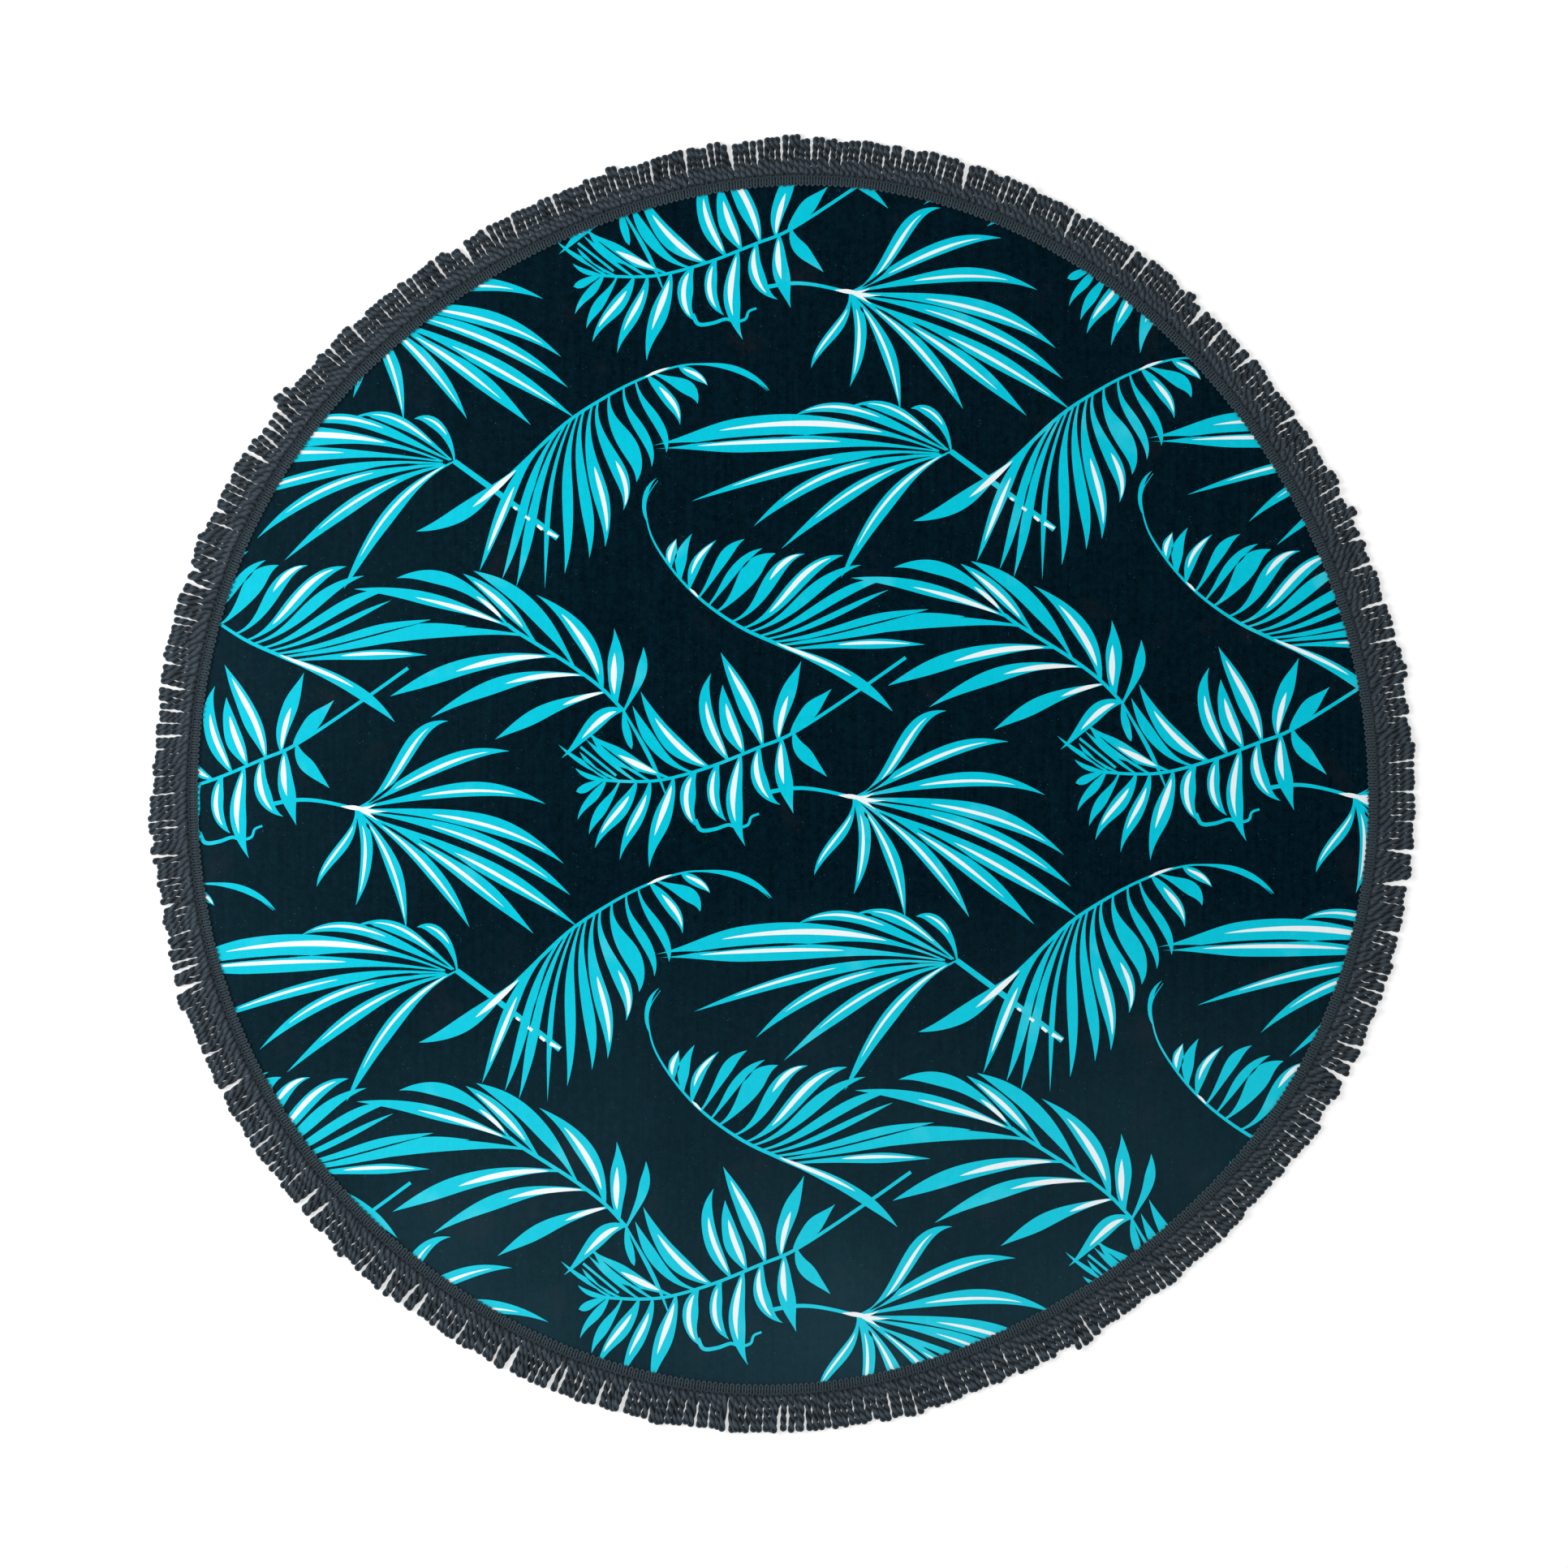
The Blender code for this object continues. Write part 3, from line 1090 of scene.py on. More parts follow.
CLIMBING_FEATHER = Feather(
    spine=(
        (-147, 363), (-159, 344), (-161, 324), (-152, 291), (-125, 251), (-92, 218),
        (-50, 189), (-9, 170), (22, 157),
    ),
    spine_widths=(0.6, 5.0),
    leaflets=(
        #       at    length heading leaves arrives width cut   streak
        Leaflet(0.17, 52, 77, 34, -40, 5.5, Cut.OVAL),
        Leaflet(0.38, 35, 79, 24, -11, 12.5, Cut.OVAL, 0.15, 0.95),
        Leaflet(0.44, 56, 76, 22, -21, 13, Cut.OVAL),
        Leaflet(0.49, 66, 61, 24, -23, 12, Cut.OVAL, 0.25, 0.92),
        Leaflet(0.54, 88, 52, -2, -27, 12, Cut.CLUB),
        Leaflet(0.59, 93, 47, 3, -25, 10.5, Cut.CLUB),
        Leaflet(0.63, 98, 45, -15, -30, 21, Cut.CLUB),
        Leaflet(0.70, 118, 43, -24, -36, 15, Cut.CLUB, 0.55, 0.95),
        Leaflet(0.75, 147, 36, -19, -29, 17, Cut.CLUB, 0.24, 0.90),
        Leaflet(0.78, 154, 31, -17, -20, 13.5, Cut.CLUB),
        Leaflet(0.82, 166, 24, -12, -19, 12.5, Cut.CLUB),
        Leaflet(0.85, 156, 22, -12, 0, 7.5, Cut.CLUB),
        Leaflet(0.88, 188, 12, -6, -4, 13, Cut.CLUB),
        Leaflet(0.91, 221, 9, -3, -9, 17, Cut.CLUB),
        Leaflet(0.95, 160, 2, 3, -5, 11, Cut.CLUB, 0.35, 0.90),
        Leaflet(0.87, 166, -30, 8, -17, 14, Cut.CLUB, 0.04, 0.62),
        Leaflet(0.54, 16, 135, -4, 4, 3, Cut.OVAL, ink=Ink.WHITE),
    ),
)

SPLIT_PALM = Feather(
    spine=((-325, 193), (-310, 182), (-281, 164), (-245, 141), (-212, 116), (-187, 90)),
    spine_widths=(4.5, 4.0),
    root_width=2.6,
    leaflets=(
        #       at    length heading leaves arrives width cut   streak
        Leaflet(0.03, 191, 166, -9, 12, 15, Cut.SLIM, 0.06, 0.62),
        Leaflet(0.00, 142, 157, -29, 38, 15, Cut.CLUB, 0.06, 0.32),
        Leaflet(0.24, 120, 136, -11, 14, 15, Cut.SLIM, 0.20, 0.88),
        Leaflet(0.55, 166, 136, -18, 22, 19, Cut.SLIM),
        Leaflet(0.79, 136, 125, -27, 25, 19, Cut.OVAL, 0.12, 0.74),
        Leaflet(0.13, 230, -177, -11, 7, 16, Cut.SLIM),
        Leaflet(0.41, 203, -167, -17, 12, 20, Cut.SLIM, 0.06, 0.60),
        Leaflet(0.64, 189, -165, -21, 17, 16, Cut.SLIM, 0.03, 0.50),
        Leaflet(0.82, 142, -157, -13, 9, 16, Cut.SLIM, 0.02, 0.37),
        Leaflet(0.99, 92, -142, -36, 0, 17, Cut.LANCE, 0.08, 0.66),
        Leaflet(0.93, 89, 92, 8, 8, 19, Cut.OVAL, 0.12, 0.68),
        Leaflet(1.00, 79, 73, -13, 22, 11.5, Cut.CLUB),
        Leaflet(1.00, 46, -78, -9, 6, 9, Cut.BLUNT),
        Leaflet(1.00, 119, -64, 4, -8, 5, Cut.SLIM),
    ),
)

SPRIG = Feather(
    spine=((-216, 9), (-173, 7), (-136, 10), (-83, 25), (-28, 47), (14, 65), (92, 116), (145, 153)),
    spine_widths=(3.5, 4.0),
    streak_share=0.32,
    streak_side=-1.0,
    leaflets=(
        #       at    length heading leaves arrives width cut   streak
        Leaflet(0.59, 72, 48, 7, -3, 17, Cut.OVAL),
        Leaflet(0.55, 97, 74, 20, -4, 18.5, Cut.OVAL, 0.03, 0.56),
        Leaflet(0.50, 121, 114, -9, 1, 21, Cut.OVAL, 0.03, 0.86),
        Leaflet(0.44, 85, 107, 13, -15, 21, Cut.OVAL, 0.06, 0.74),
        Leaflet(0.39, 104, 101, 24, -39, 18, Cut.OVAL, 0.05, 0.68),
        Leaflet(0.33, 120, 132, 26, -20, 20, Cut.OVAL, 0.04, 0.72),
        Leaflet(0.28, 106, 132, 33, -20, 12.5, Cut.SLIM),
        Leaflet(0.21, 107, 151, 7, -21, 19, Cut.CLUB, 0.14, 0.62),
        Leaflet(0.15, 78, 143, 7, -3, 6, Cut.SLIM),
        Leaflet(0.11, 78, 140, 6, -4, 6, Cut.SLIM),
        Leaflet(0.06, 84, 149, 6, -12, 6, Cut.SLIM),
        Leaflet(0.03, 49, 136, 14, -6, 6, Cut.SLIM),
        Leaflet(0.02, 39, 158, 12, -23, 6, Cut.SLIM),
        Leaflet(0.60, 65, -53, -27, 5, 15.5, Cut.OVAL),
        Leaflet(0.56, 89, -81, -11, 9, 19, Cut.OVAL, 0.06, 0.60),
        Leaflet(0.49, 72, -70, -35, 48, 17, Cut.OVAL, 0.08, 0.80),
        Leaflet(0.43, 107, -87, -15, 25, 19, Cut.OVAL, 0.06, 0.72),
        Leaflet(0.36, 68, -82, -33, 42, 15.5, Cut.OVAL, 0.12, 0.82),
        Leaflet(0.29, 66, -87, -38, 47, 18, Cut.OVAL, 0.12, 0.86),
        Leaflet(0.22, 109, -105, 10, 13, 19, Cut.OVAL, 0.08, 0.66),
        Leaflet(0.15, 99, -111, 16, 11, 14.5, Cut.OVAL, 0.16, 0.72),
        Leaflet(0.11, 92, -122, 17, 14, 16, Cut.OVAL, 0.20, 0.80),
        Leaflet(0.06, 72, -120, 8, 15, 11, Cut.SLIM),
        Leaflet(0.02, 57, -126, 8, 18, 10, Cut.OVAL),
        Leaflet(0.01, 34, -157, -5, -10, 9.5, Cut.BLUNT),
    ),
)

STALKS = (
    Stem(((-18, -6), (4, -2), (24, -1), (48, -4), (83, -12)), 5.0, 3.8),
    Stem(((200, 398), (262, 352), (322, 306)), 6.5, 7.0),
    Stem(
        points=(
            (-103, -38), (-96, -50), (-80, -49), (-64, -44), (-53, -47), (-41, -44), (-37, -35),
            (-28, -31),
        ),
        start_width=5.0,
        end_width=2.6,
    ),
    Stem(((-232, 66), (-186, 32)), 3.0, 3.0),
    Stem(((-238, 48), (-196, 14)), 3.0, 3.0),
    Stem(((270, 343), (274, 340)), 3.0, 3.0, ink=Ink.WHITE),
    Stem(((284, 332), (289, 328)), 3.5, 3.5, ink=Ink.WHITE),
    Stem(((298, 321), (304, 316)), 3.5, 3.5, ink=Ink.WHITE),
    Stem(((310, 313), (322, 307)), 4.5, 2.5, ink=Ink.WHITE),
)


@dataclass(frozen=True)
class LeafPrint:
    """The print: six bunches of palm leaves that repeat across and down the cloth."""

    step_across: Point = (587.0, 11.0)
    step_down: Point = (3.0, -600.0)
    bunches: tuple[Bunch | Stem, ...] = (
        OPEN_FAN,
        SWEPT_FAN,
        DROOPING_FEATHER,
        CLIMBING_FEATHER,
        SPLIT_PALM,
        SPRIG,
        *STALKS,
    )
    repeats: range = range(-2, 3)
    reach: float = 600.0
    aside: float = 1.7
    drop: float = 1.0
    drop_up_and_down: float = 7.5
    drop_across: float = 3.0
    drop_right: float = 4.0
    twist_right: float = 12.0
    push_left: float = 4.0

    def as_pulled(self, x: float, y: float) -> Point:
        """Find where a place of the print lies, as the cloth is a little unevenly pulled flat.

        Args:
            x: The place's X where the cloth is laid square, in millimetres.
            y: Its Y.

        Returns:
            The place as it lies.
        """
        across, up = x / self.reach, y / self.reach
        push = self.aside + self.push_left * min(0.0, across) ** 2
        push -= self.twist_right * max(0.0, across) * up
        fall = self.drop + self.drop_up_and_down * up * up + self.drop_across * across * across
        fall += self.drop_right * max(0.0, across) ** 4
        return x + push, y - fall

    def shapes_within(self, lie: Lie) -> list[Shape]:
        """Repeat the bunches over the towel.

        Args:
            lie: How the towel lies.

        Returns:
            The shapes that reach onto the cloth, in millimetres from its middle.
        """
        one_repeat = [shape for bunch in self.bunches for shape in bunch.shapes()]
        found = []
        for across in self.repeats:
            for down in self.repeats:
                right = across * self.step_across[0] + down * self.step_down[0]
                up = across * self.step_across[1] + down * self.step_down[1]
                for shape in one_repeat:
                    outline = tuple(self.as_pulled(x + right, y + up) for x, y in shape.outline)
                    nearest = min(lie.nominal_radius(x * MM, y * MM) for x, y in outline)
                    if nearest < lie.cloth_radius:
                        found.append(Shape(shape.ink, outline))
        return found


# ---------------------------------------------------------------- mesh helpers


def twice_area(outline: Sequence[Point]) -> float:
    """Twice the area inside an outline, negative where it runs clockwise."""
    return sum(a[0] * b[1] - b[0] * a[1] for a, b in zip(outline, (*outline[1:], outline[0])))


def nearest_of(points: Sequence[Point]) -> kdtree.KDTree:
    """Make points quick to search.

    Args:
        points: Flat places.

    Returns:
        A search tree that finds the number of the nearest one and its distance.
    """
    tree = kdtree.KDTree(len(points))
    for index, (x, y) in enumerate(points):
        tree.insert((x, y, 0.0), index)
    tree.balance()
    return tree


def cut_plane(outlines: Sequence[tuple[Point, ...]], loose: Sequence[Point]) -> CutPlane:
    """Cut the plane into triangles that follow closed outlines.

    Args:
        outlines: The outlines, the hem's first.
        loose: Places between them.

    Returns:
        The points, the triangles inside the hem, and the outlines round each triangle.
    """
    points: list[Vector] = []
    faces = []
    for outline in outlines:
        face = list(range(len(points), len(points) + len(outline)))
        faces.append(face if twice_area(outline) > 0.0 else face[::-1])
        points.extend(Vector(p) for p in outline)
    points.extend(Vector(p) for p in loose)
    verts, _, triangles, _, _, around = delaunay_2d_cdt(points, [], faces, 0, SAME_PLACE_MM)
    kept = [(list(t), set(a)) for t, a in zip(triangles, around) if 0 in a]
    return verts, [t for t, _ in kept], [a for _, a in kept]


def rim_of(triangles: Sequence[Sequence[int]]) -> list[int]:
    """Follow the open edge round a disc of triangles.

    Args:
        triangles: The disc.

    Returns:
        The points on its edge, in order.
    """
    sides = {side: True for a, b, c in triangles for side in ((a, b), (b, c), (c, a))}
    ahead = {start: end for start, end in sides if (end, start) not in sides}
    rim = [next(iter(ahead))]
    while ahead[rim[-1]] != rim[0]:
        rim.append(ahead[rim[-1]])
    return rim


def add_object(name: str, mesh: bpy.types.Mesh, finishes: Sequence[Finish]) -> bpy.types.Object:
    """Put a finished mesh into the scene. A finish that several pieces share is made once.

    Args:
        name: The piece's name.
        mesh: Its mesh.
        finishes: Its finishes, in the order that its faces number them.

    Returns:
        The new object.
    """
    for finish in finishes:
        mesh.materials.append(bpy.data.materials.get(finish.name) or finish.material())
    piece = bpy.data.objects.new(name, mesh)
    bpy.context.scene.collection.objects.link(piece)
    return piece


def around_quads(near: np.ndarray, far: np.ndarray) -> np.ndarray:
    """Four-sided faces between rings of point numbers and the rings ahead of them."""
    return np.stack((near, np.roll(near, -1, axis=-1), np.roll(far, -1, axis=-1), far), axis=-1)


class Tubing(NamedTuple):
    """Points, four-sided faces, and for each face corner its place on the yarn's twist and how far it lies
    out of the painted crease shade.
    """

    verts: np.ndarray
    quads: np.ndarray
    twist: np.ndarray


def yarn_piece(name: str, parts: Sequence[Tubing], finish: YarnFinish) -> bpy.types.Object:
    """Join parts into one smooth piece of yarn.

    Args:
        name: The piece's name.
        parts: The points, faces and twist of each part.
        finish: The yarn's finish.

    Returns:
        The piece.
    """
    starts = np.cumsum([0] + [len(part.verts) for part in parts])
    verts = np.concatenate([part.verts for part in parts])
    quads = np.concatenate([part.quads + start for part, start in zip(parts, starts)])
    twist = np.concatenate([part.twist for part in parts])
    mesh = bpy.data.meshes.new(name)
    mesh.vertices.add(len(verts))
    mesh.vertices.foreach_set("co", verts.astype(np.float32).ravel())
    mesh.loops.add(quads.size)
    mesh.loops.foreach_set("vertex_index", quads.astype(np.int32).ravel())
    mesh.polygons.add(len(quads))
    mesh.polygons.foreach_set("loop_start", np.arange(0, quads.size, 4, dtype=np.int32))
    mesh.update(calc_edges=True)
    layer = mesh.uv_layers.new(name=finish.twist_map)
    layer.data.foreach_set("uv", twist.astype(np.float32).ravel())
    mesh.shade_smooth()
    return add_object(name, mesh, [finish])


@dataclass(frozen=True)
class Tube:
    """Round tubes swept along paths that never run straight up, with the twist of their yarn.

    Where the middle of a twisted cord is given beside each place, shade is painted on the side
    that is turned to it, in the crease: deepest within the first crease distance of it, and gone
    the second further out.
    """

    sides: int
    ring_closed: bool = False
    painted_crease_from: float = 0.0020
    painted_crease_depth: float = 0.0020
    painted_crease_fade: float = 1.5
    ridge_pitch: float = 0.0013
    ridges_round: float = -8.0

    def swept(
        self, paths: np.ndarray, radii: np.ndarray | float, cores: np.ndarray | None = None
    ) -> Tubing:
        """Sweep the tubes.

        Args:
            paths: Places, by path, step and axis.
            radii: Radius by path and step, or one for all.
            cores: The middle of the twisted cord beside each place, where there is one; shade is painted on
                the side that is turned to it.

        Returns:
            The tubes.
        """
        radii = np.broadcast_to(radii, paths.shape[:2])
        verts = paths[:, :, None, :] + radii[:, :, None, None] * self.rings(paths)
        first = np.arange(verts[..., 0].size).reshape(verts.shape[:3])
        if self.ring_closed:
            quads = around_quads(first, np.roll(first, -1, axis=1))
        else:
            quads = around_quads(first[:, :-1], first[:, 1:])
        # How far each corner lies out of the crease, where shade is painted on the cords.
        out_of_painted_crease = np.ones(first.shape)
        if cores is not None:
            depth = np.linalg.norm(verts - cores[:, :, None, :], axis=3)
            share = np.clip((depth - self.painted_crease_from) / self.painted_crease_depth, 0.0, 1.0)
            out_of_painted_crease = share ** self.painted_crease_fade
        twist = self.twist(paths, quads, out_of_painted_crease.reshape(-1)[quads])
        return Tubing(verts.reshape(-1, 3), quads.reshape(-1, 4), twist.reshape(-1, 2))

    def rings(self, paths: np.ndarray) -> np.ndarray:
        """Stand a ring of unit arms on every place of the paths.

        Args:
            paths: Places, by path, step and axis.

        Returns:
            The arms, by path, step, side and axis.
        """
        if self.ring_closed:
            ahead = np.roll(paths, -1, axis=1) - np.roll(paths, 1, axis=1)
        else:
            ahead = np.gradient(paths, axis=1)
        ahead /= np.linalg.norm(ahead, axis=2, keepdims=True)
        side = np.cross(ahead, np.array((0.0, 0.0, 1.0)))
        side /= np.linalg.norm(side, axis=2, keepdims=True)
        above = np.cross(side, ahead)
        turn = np.arange(self.sides) * math.tau / self.sides
        sideways = side[:, :, None, :] * np.cos(turn)[None, None, :, None]
        return sideways + above[:, :, None, :] * np.sin(turn)[None, None, :, None]

    def twist(self, paths: np.ndarray, quads: np.ndarray, out_of_painted_shade: np.ndarray) -> np.ndarray:
        """Lay the yarn's ridges round the tubes, with how far each corner lies out of the painted crease
        shade.

        Args:
            paths: Places, by path, step and axis.
            quads: The faces, by path, step, side and corner.
            out_of_painted_shade: How far out of the painted crease shade each face corner lies.

        Returns:
            The place on the twist of each face corner, and how far it lies out of the painted crease shade.
        """
        spans = np.linalg.norm(np.diff(paths, axis=1), axis=2)
        run = np.concatenate((np.zeros((len(paths), 1)), np.cumsum(spans, axis=1)), axis=1)
        if self.ring_closed:
            run = np.concatenate((run, run[:, -1:] + spans[:, -1:]), axis=1)
        start, end = run[:, :-1, None], run[:, 1:, None]
        around = np.arange(self.sides)[None, None, :] / self.sides
        after = around + 1.0 / self.sides
        ridges_per_metre = 1.0 / self.ridge_pitch
        pairs = []
        corners = ((start, around), (start, after), (end, after), (end, around))
        for corner, (length, turned_by) in enumerate(corners):
            ridges = length * ridges_per_metre + turned_by * self.ridges_round
            along = np.broadcast_to(ridges, quads.shape[:3])
            pairs.append(np.stack((along, out_of_painted_shade[..., corner]), axis=-1))
        return np.stack(pairs, axis=3)


# ---------------------------------------------------------------- the cloth


@dataclass
class ClothMesh:
    """A mesh as it grows: its points, its faces and each face's material place."""

    points: list[Place] = field(default_factory=list)
    faces: list[list[int]] = field(default_factory=list)
    places: list[int] = field(default_factory=list)

    def add_point(self, x: float, y: float, z: float) -> int:
        """Add a point and tell its number."""
        self.points.append((x, y, z))
        return len(self.points) - 1

    def add_face(self, corners: list[int], place: Velour) -> None:
        """Add a face with its material place."""
        self.faces.append(corners)
        self.places.append(place.value)


@dataclass
class TowelCloth:
    """The disc of velour: printed upper face, rounded hem and terry reverse."""

    lie: Lie
    print_design: LeafPrint = LeafPrint()
    grid_mm: float = 8.0
    grid_inset_mm: float = 3.0
    grid_half_mm: float = 780.0
    edge_points: int = 520
    edge_inset: float = 0.0006
    clear_of_outlines_mm: float = 2.4
    under_grid_mm: float = 28.0
    under_grid_inset: float = 0.012
    creases: tuple[Fold, ...] = (
        #    x       y      run   half sizes    rise
        Fold(-0.648, 0.025, 88.0, 0.055, 0.008, 0.0006),
        Fold(0.409, -0.086, 80.0, 0.030, 0.007, 0.0005),
        Fold(0.456, -0.403, 60.0, 0.035, 0.009, 0.0006),
        Fold(-0.300, -0.620, 28.0, 0.090, 0.014, 0.0008),
        Fold(0.560, 0.330, 120.0, 0.080, 0.013, 0.0007),
    )
    flat_from: float = 0.660
    flat_to: float = 0.688
    ripples_per_metre: float = 22.0
    ripple_height: float = 0.00018
    tufts_per_metre: float = 90.0
    tuft_height: float = 0.00006
    pile_below: float = 0.0001
    rim_profile: tuple[Span, ...] = ((0.0006, 0.0021), (0.0006, 0.0009), (0.0, 0.0))
    hem_width: float = 0.0150
    hem_step: float = 0.0006
    hem_slope: float = 0.0008
    hem_margin: float = 0.0020
    hem_points: int = 240
    on_rim_mm: float = 0.05

    def relief(self, x: float, y: float) -> float:
        """Work out the height of the upper face over the cloth's own thickness.

        Args:
            x: The place's X.
            y: Its Y.

        Returns:
            The folds, the creases and the fine unevenness of the pile together.
        """
        flat = 1.0 - smooth_step(self.lie.nominal_radius(x, y), self.flat_from, self.flat_to)
        ripple = noise.noise(Vector((x * self.ripples_per_metre, y * self.ripples_per_metre, 0.0)))
        tufts = noise.noise(Vector((x * self.tufts_per_metre, y * self.tufts_per_metre, 4.0)))
        creases = sum(painted_crease_shade.height_at(x, y) for painted_crease_shade in self.creases)
        fine = self.ripple_height * ripple + self.tuft_height * tufts + creases
        return self.lie.fold_rise(x, y) + flat * fine

    def grid(self, pitch: float, reach: float) -> Iterator[Point]:
        """Even places over the cloth, in millimetres.

        Args:
            pitch: The distance between neighbours.
            reach: The nominal radius that they stay within.

        Yields:
            One place after another, in rows that are set off by half a pitch.
        """
        row_step = pitch * math.sqrt(0.75)
        rows = int(self.grid_half_mm / row_step)
        for row in range(-rows, rows + 1):
            shift = 0.5 * pitch * (row % 2)
            for column in range(-rows, rows + 1):
                x, y = column * pitch + shift, row * row_step
                if self.lie.nominal_radius(x * MM, y * MM) < reach * MM:
                    yield x, y

    def ring(self, radius: float, count: int) -> list[Point]:
        """Even places round the cloth, in millimetres."""
        places = [self.lie.at_radius(radius, math.tau * step / count) for step in range(count)]
        return [(x / MM, y / MM) for x, y in places]

    def upper_face(self) -> tuple[list[Vector], list[list[int]], list[Ink]]:
        """Cut the printed face along the edges of its leaves.

        Returns:
            Its points in millimetres, its triangles, and the ink of each.
        """
        shapes = self.print_design.shapes_within(self.lie)
        edge = tuple(self.ring(self.lie.cloth_radius - self.edge_inset, self.edge_points))
        outlines = [edge] + [shape.outline for shape in shapes]
        taken = nearest_of([place for outline in outlines for place in outline])
        loose = []
        for x, y in self.grid(self.grid_mm, self.lie.cloth_radius / MM - self.grid_inset_mm):
            if taken.find((x, y, 0.0))[2] > self.clear_of_outlines_mm:
                loose.append((x, y))
        verts, triangles, around = cut_plane(outlines, loose)
        dyes = [Ink.GROUND.value] + [shape.ink.value for shape in shapes]
        return verts, triangles, [Ink(max(dyes[index] for index in found)) for found in around]

    def build(self) -> bpy.types.Object:
        """Build the cloth.

        Returns:
            The piece.
        """
        verts, triangles, inks = self.upper_face()
        cloth = ClothMesh()
        number = {}
        for old in sorted({corner for triangle in triangles for corner in triangle}):
            x, y = verts[old].x * MM, verts[old].y * MM
            height = self.lie.cloth_thickness - self.pile_below + self.relief(x, y)
            number[old] = cloth.add_point(x, y, height)
        for triangle, ink in zip(triangles, inks):
            cloth.add_face([number[corner] for corner in triangle], VELOUR_OF[ink])
        rim = self.add_edge(cloth, [number[corner] for corner in rim_of(triangles)])
        self.add_reverse(cloth, rim)

        mesh = bpy.data.meshes.new("towel_velour")
        mesh.from_pydata(cloth.points, [], cloth.faces)
        mesh.polygons.foreach_set("material_index", cloth.places)
        mesh.shade_smooth()
        mesh.update()
        finishes = (GROUND_VELOUR, LEAF_VELOUR, WHITE_VELOUR, TerryFinish())
        return add_object("towel_velour", mesh, finishes)

    def add_edge(self, cloth: ClothMesh, top: list[int]) -> list[int]:
        """Add the hem's rounded edge.

        Args:
            cloth: The mesh, added to.
            top: The upper face's outermost points, in order.

        Returns:
            The lowest ring of points, in order.
        """
        rings = [top]
        for out, height in self.rim_profile:
            ring = []
            for corner in top:
                x, y, _ = cloth.points[corner]
                grown = 1.0 + out / math.hypot(x, y)
                ring.append(cloth.add_point(x * grown, y * grown, height))
            rings.append(ring)
        for upper, lower in zip(rings, rings[1:]):
            for index, corner in enumerate(upper):
                after = (index + 1) % len(upper)
                cloth.add_face([corner, lower[index], lower[after], upper[after]], Velour.NAVY)
        return rings[-1]

    def add_reverse(self, cloth: ClothMesh, rim: list[int]) -> None:
        """Close the piece underneath: a turned hem and the terry reverse inside it.

        Args:
            cloth: The mesh, added to.
            rim: The lower rim's points, in order.
        """
        outline = tuple((cloth.points[corner][0] / MM, cloth.points[corner][1] / MM) for corner in rim)
        radius = self.lie.cloth_radius
        hem_inner = radius - self.hem_width
        loose = list(self.grid(self.under_grid_mm, (hem_inner - self.under_grid_inset) / MM))
        for ring_radius in (radius - self.hem_margin, hem_inner + self.hem_slope, hem_inner):
            loose += self.ring(ring_radius, self.hem_points)
        verts, triangles, _ = cut_plane([outline], loose)
        nearest = nearest_of(outline)
        number = {}
        for old in sorted({corner for triangle in triangles for corner in triangle}):
            x, y = verts[old].x, verts[old].y
            _, index, distance = nearest.find((x, y, 0.0))
            if distance < self.on_rim_mm:
                number[old] = rim[index]
                continue
            x, y = x * MM, y * MM
            turned_in = self.lie.nominal_radius(x, y) > hem_inner + 0.5 * self.hem_slope
            height = 0.0 if turned_in else self.hem_step + self.lie.fold_rise(x, y)
            number[old] = cloth.add_point(x, y, height)
        for triangle in triangles:
            corners = [number[corner] for corner in triangle]
            if len(set(corners)) == len(triangle):
                cloth.add_face(corners[::-1], Velour.REVERSE)


# ---------------------------------------------------------------- the heading


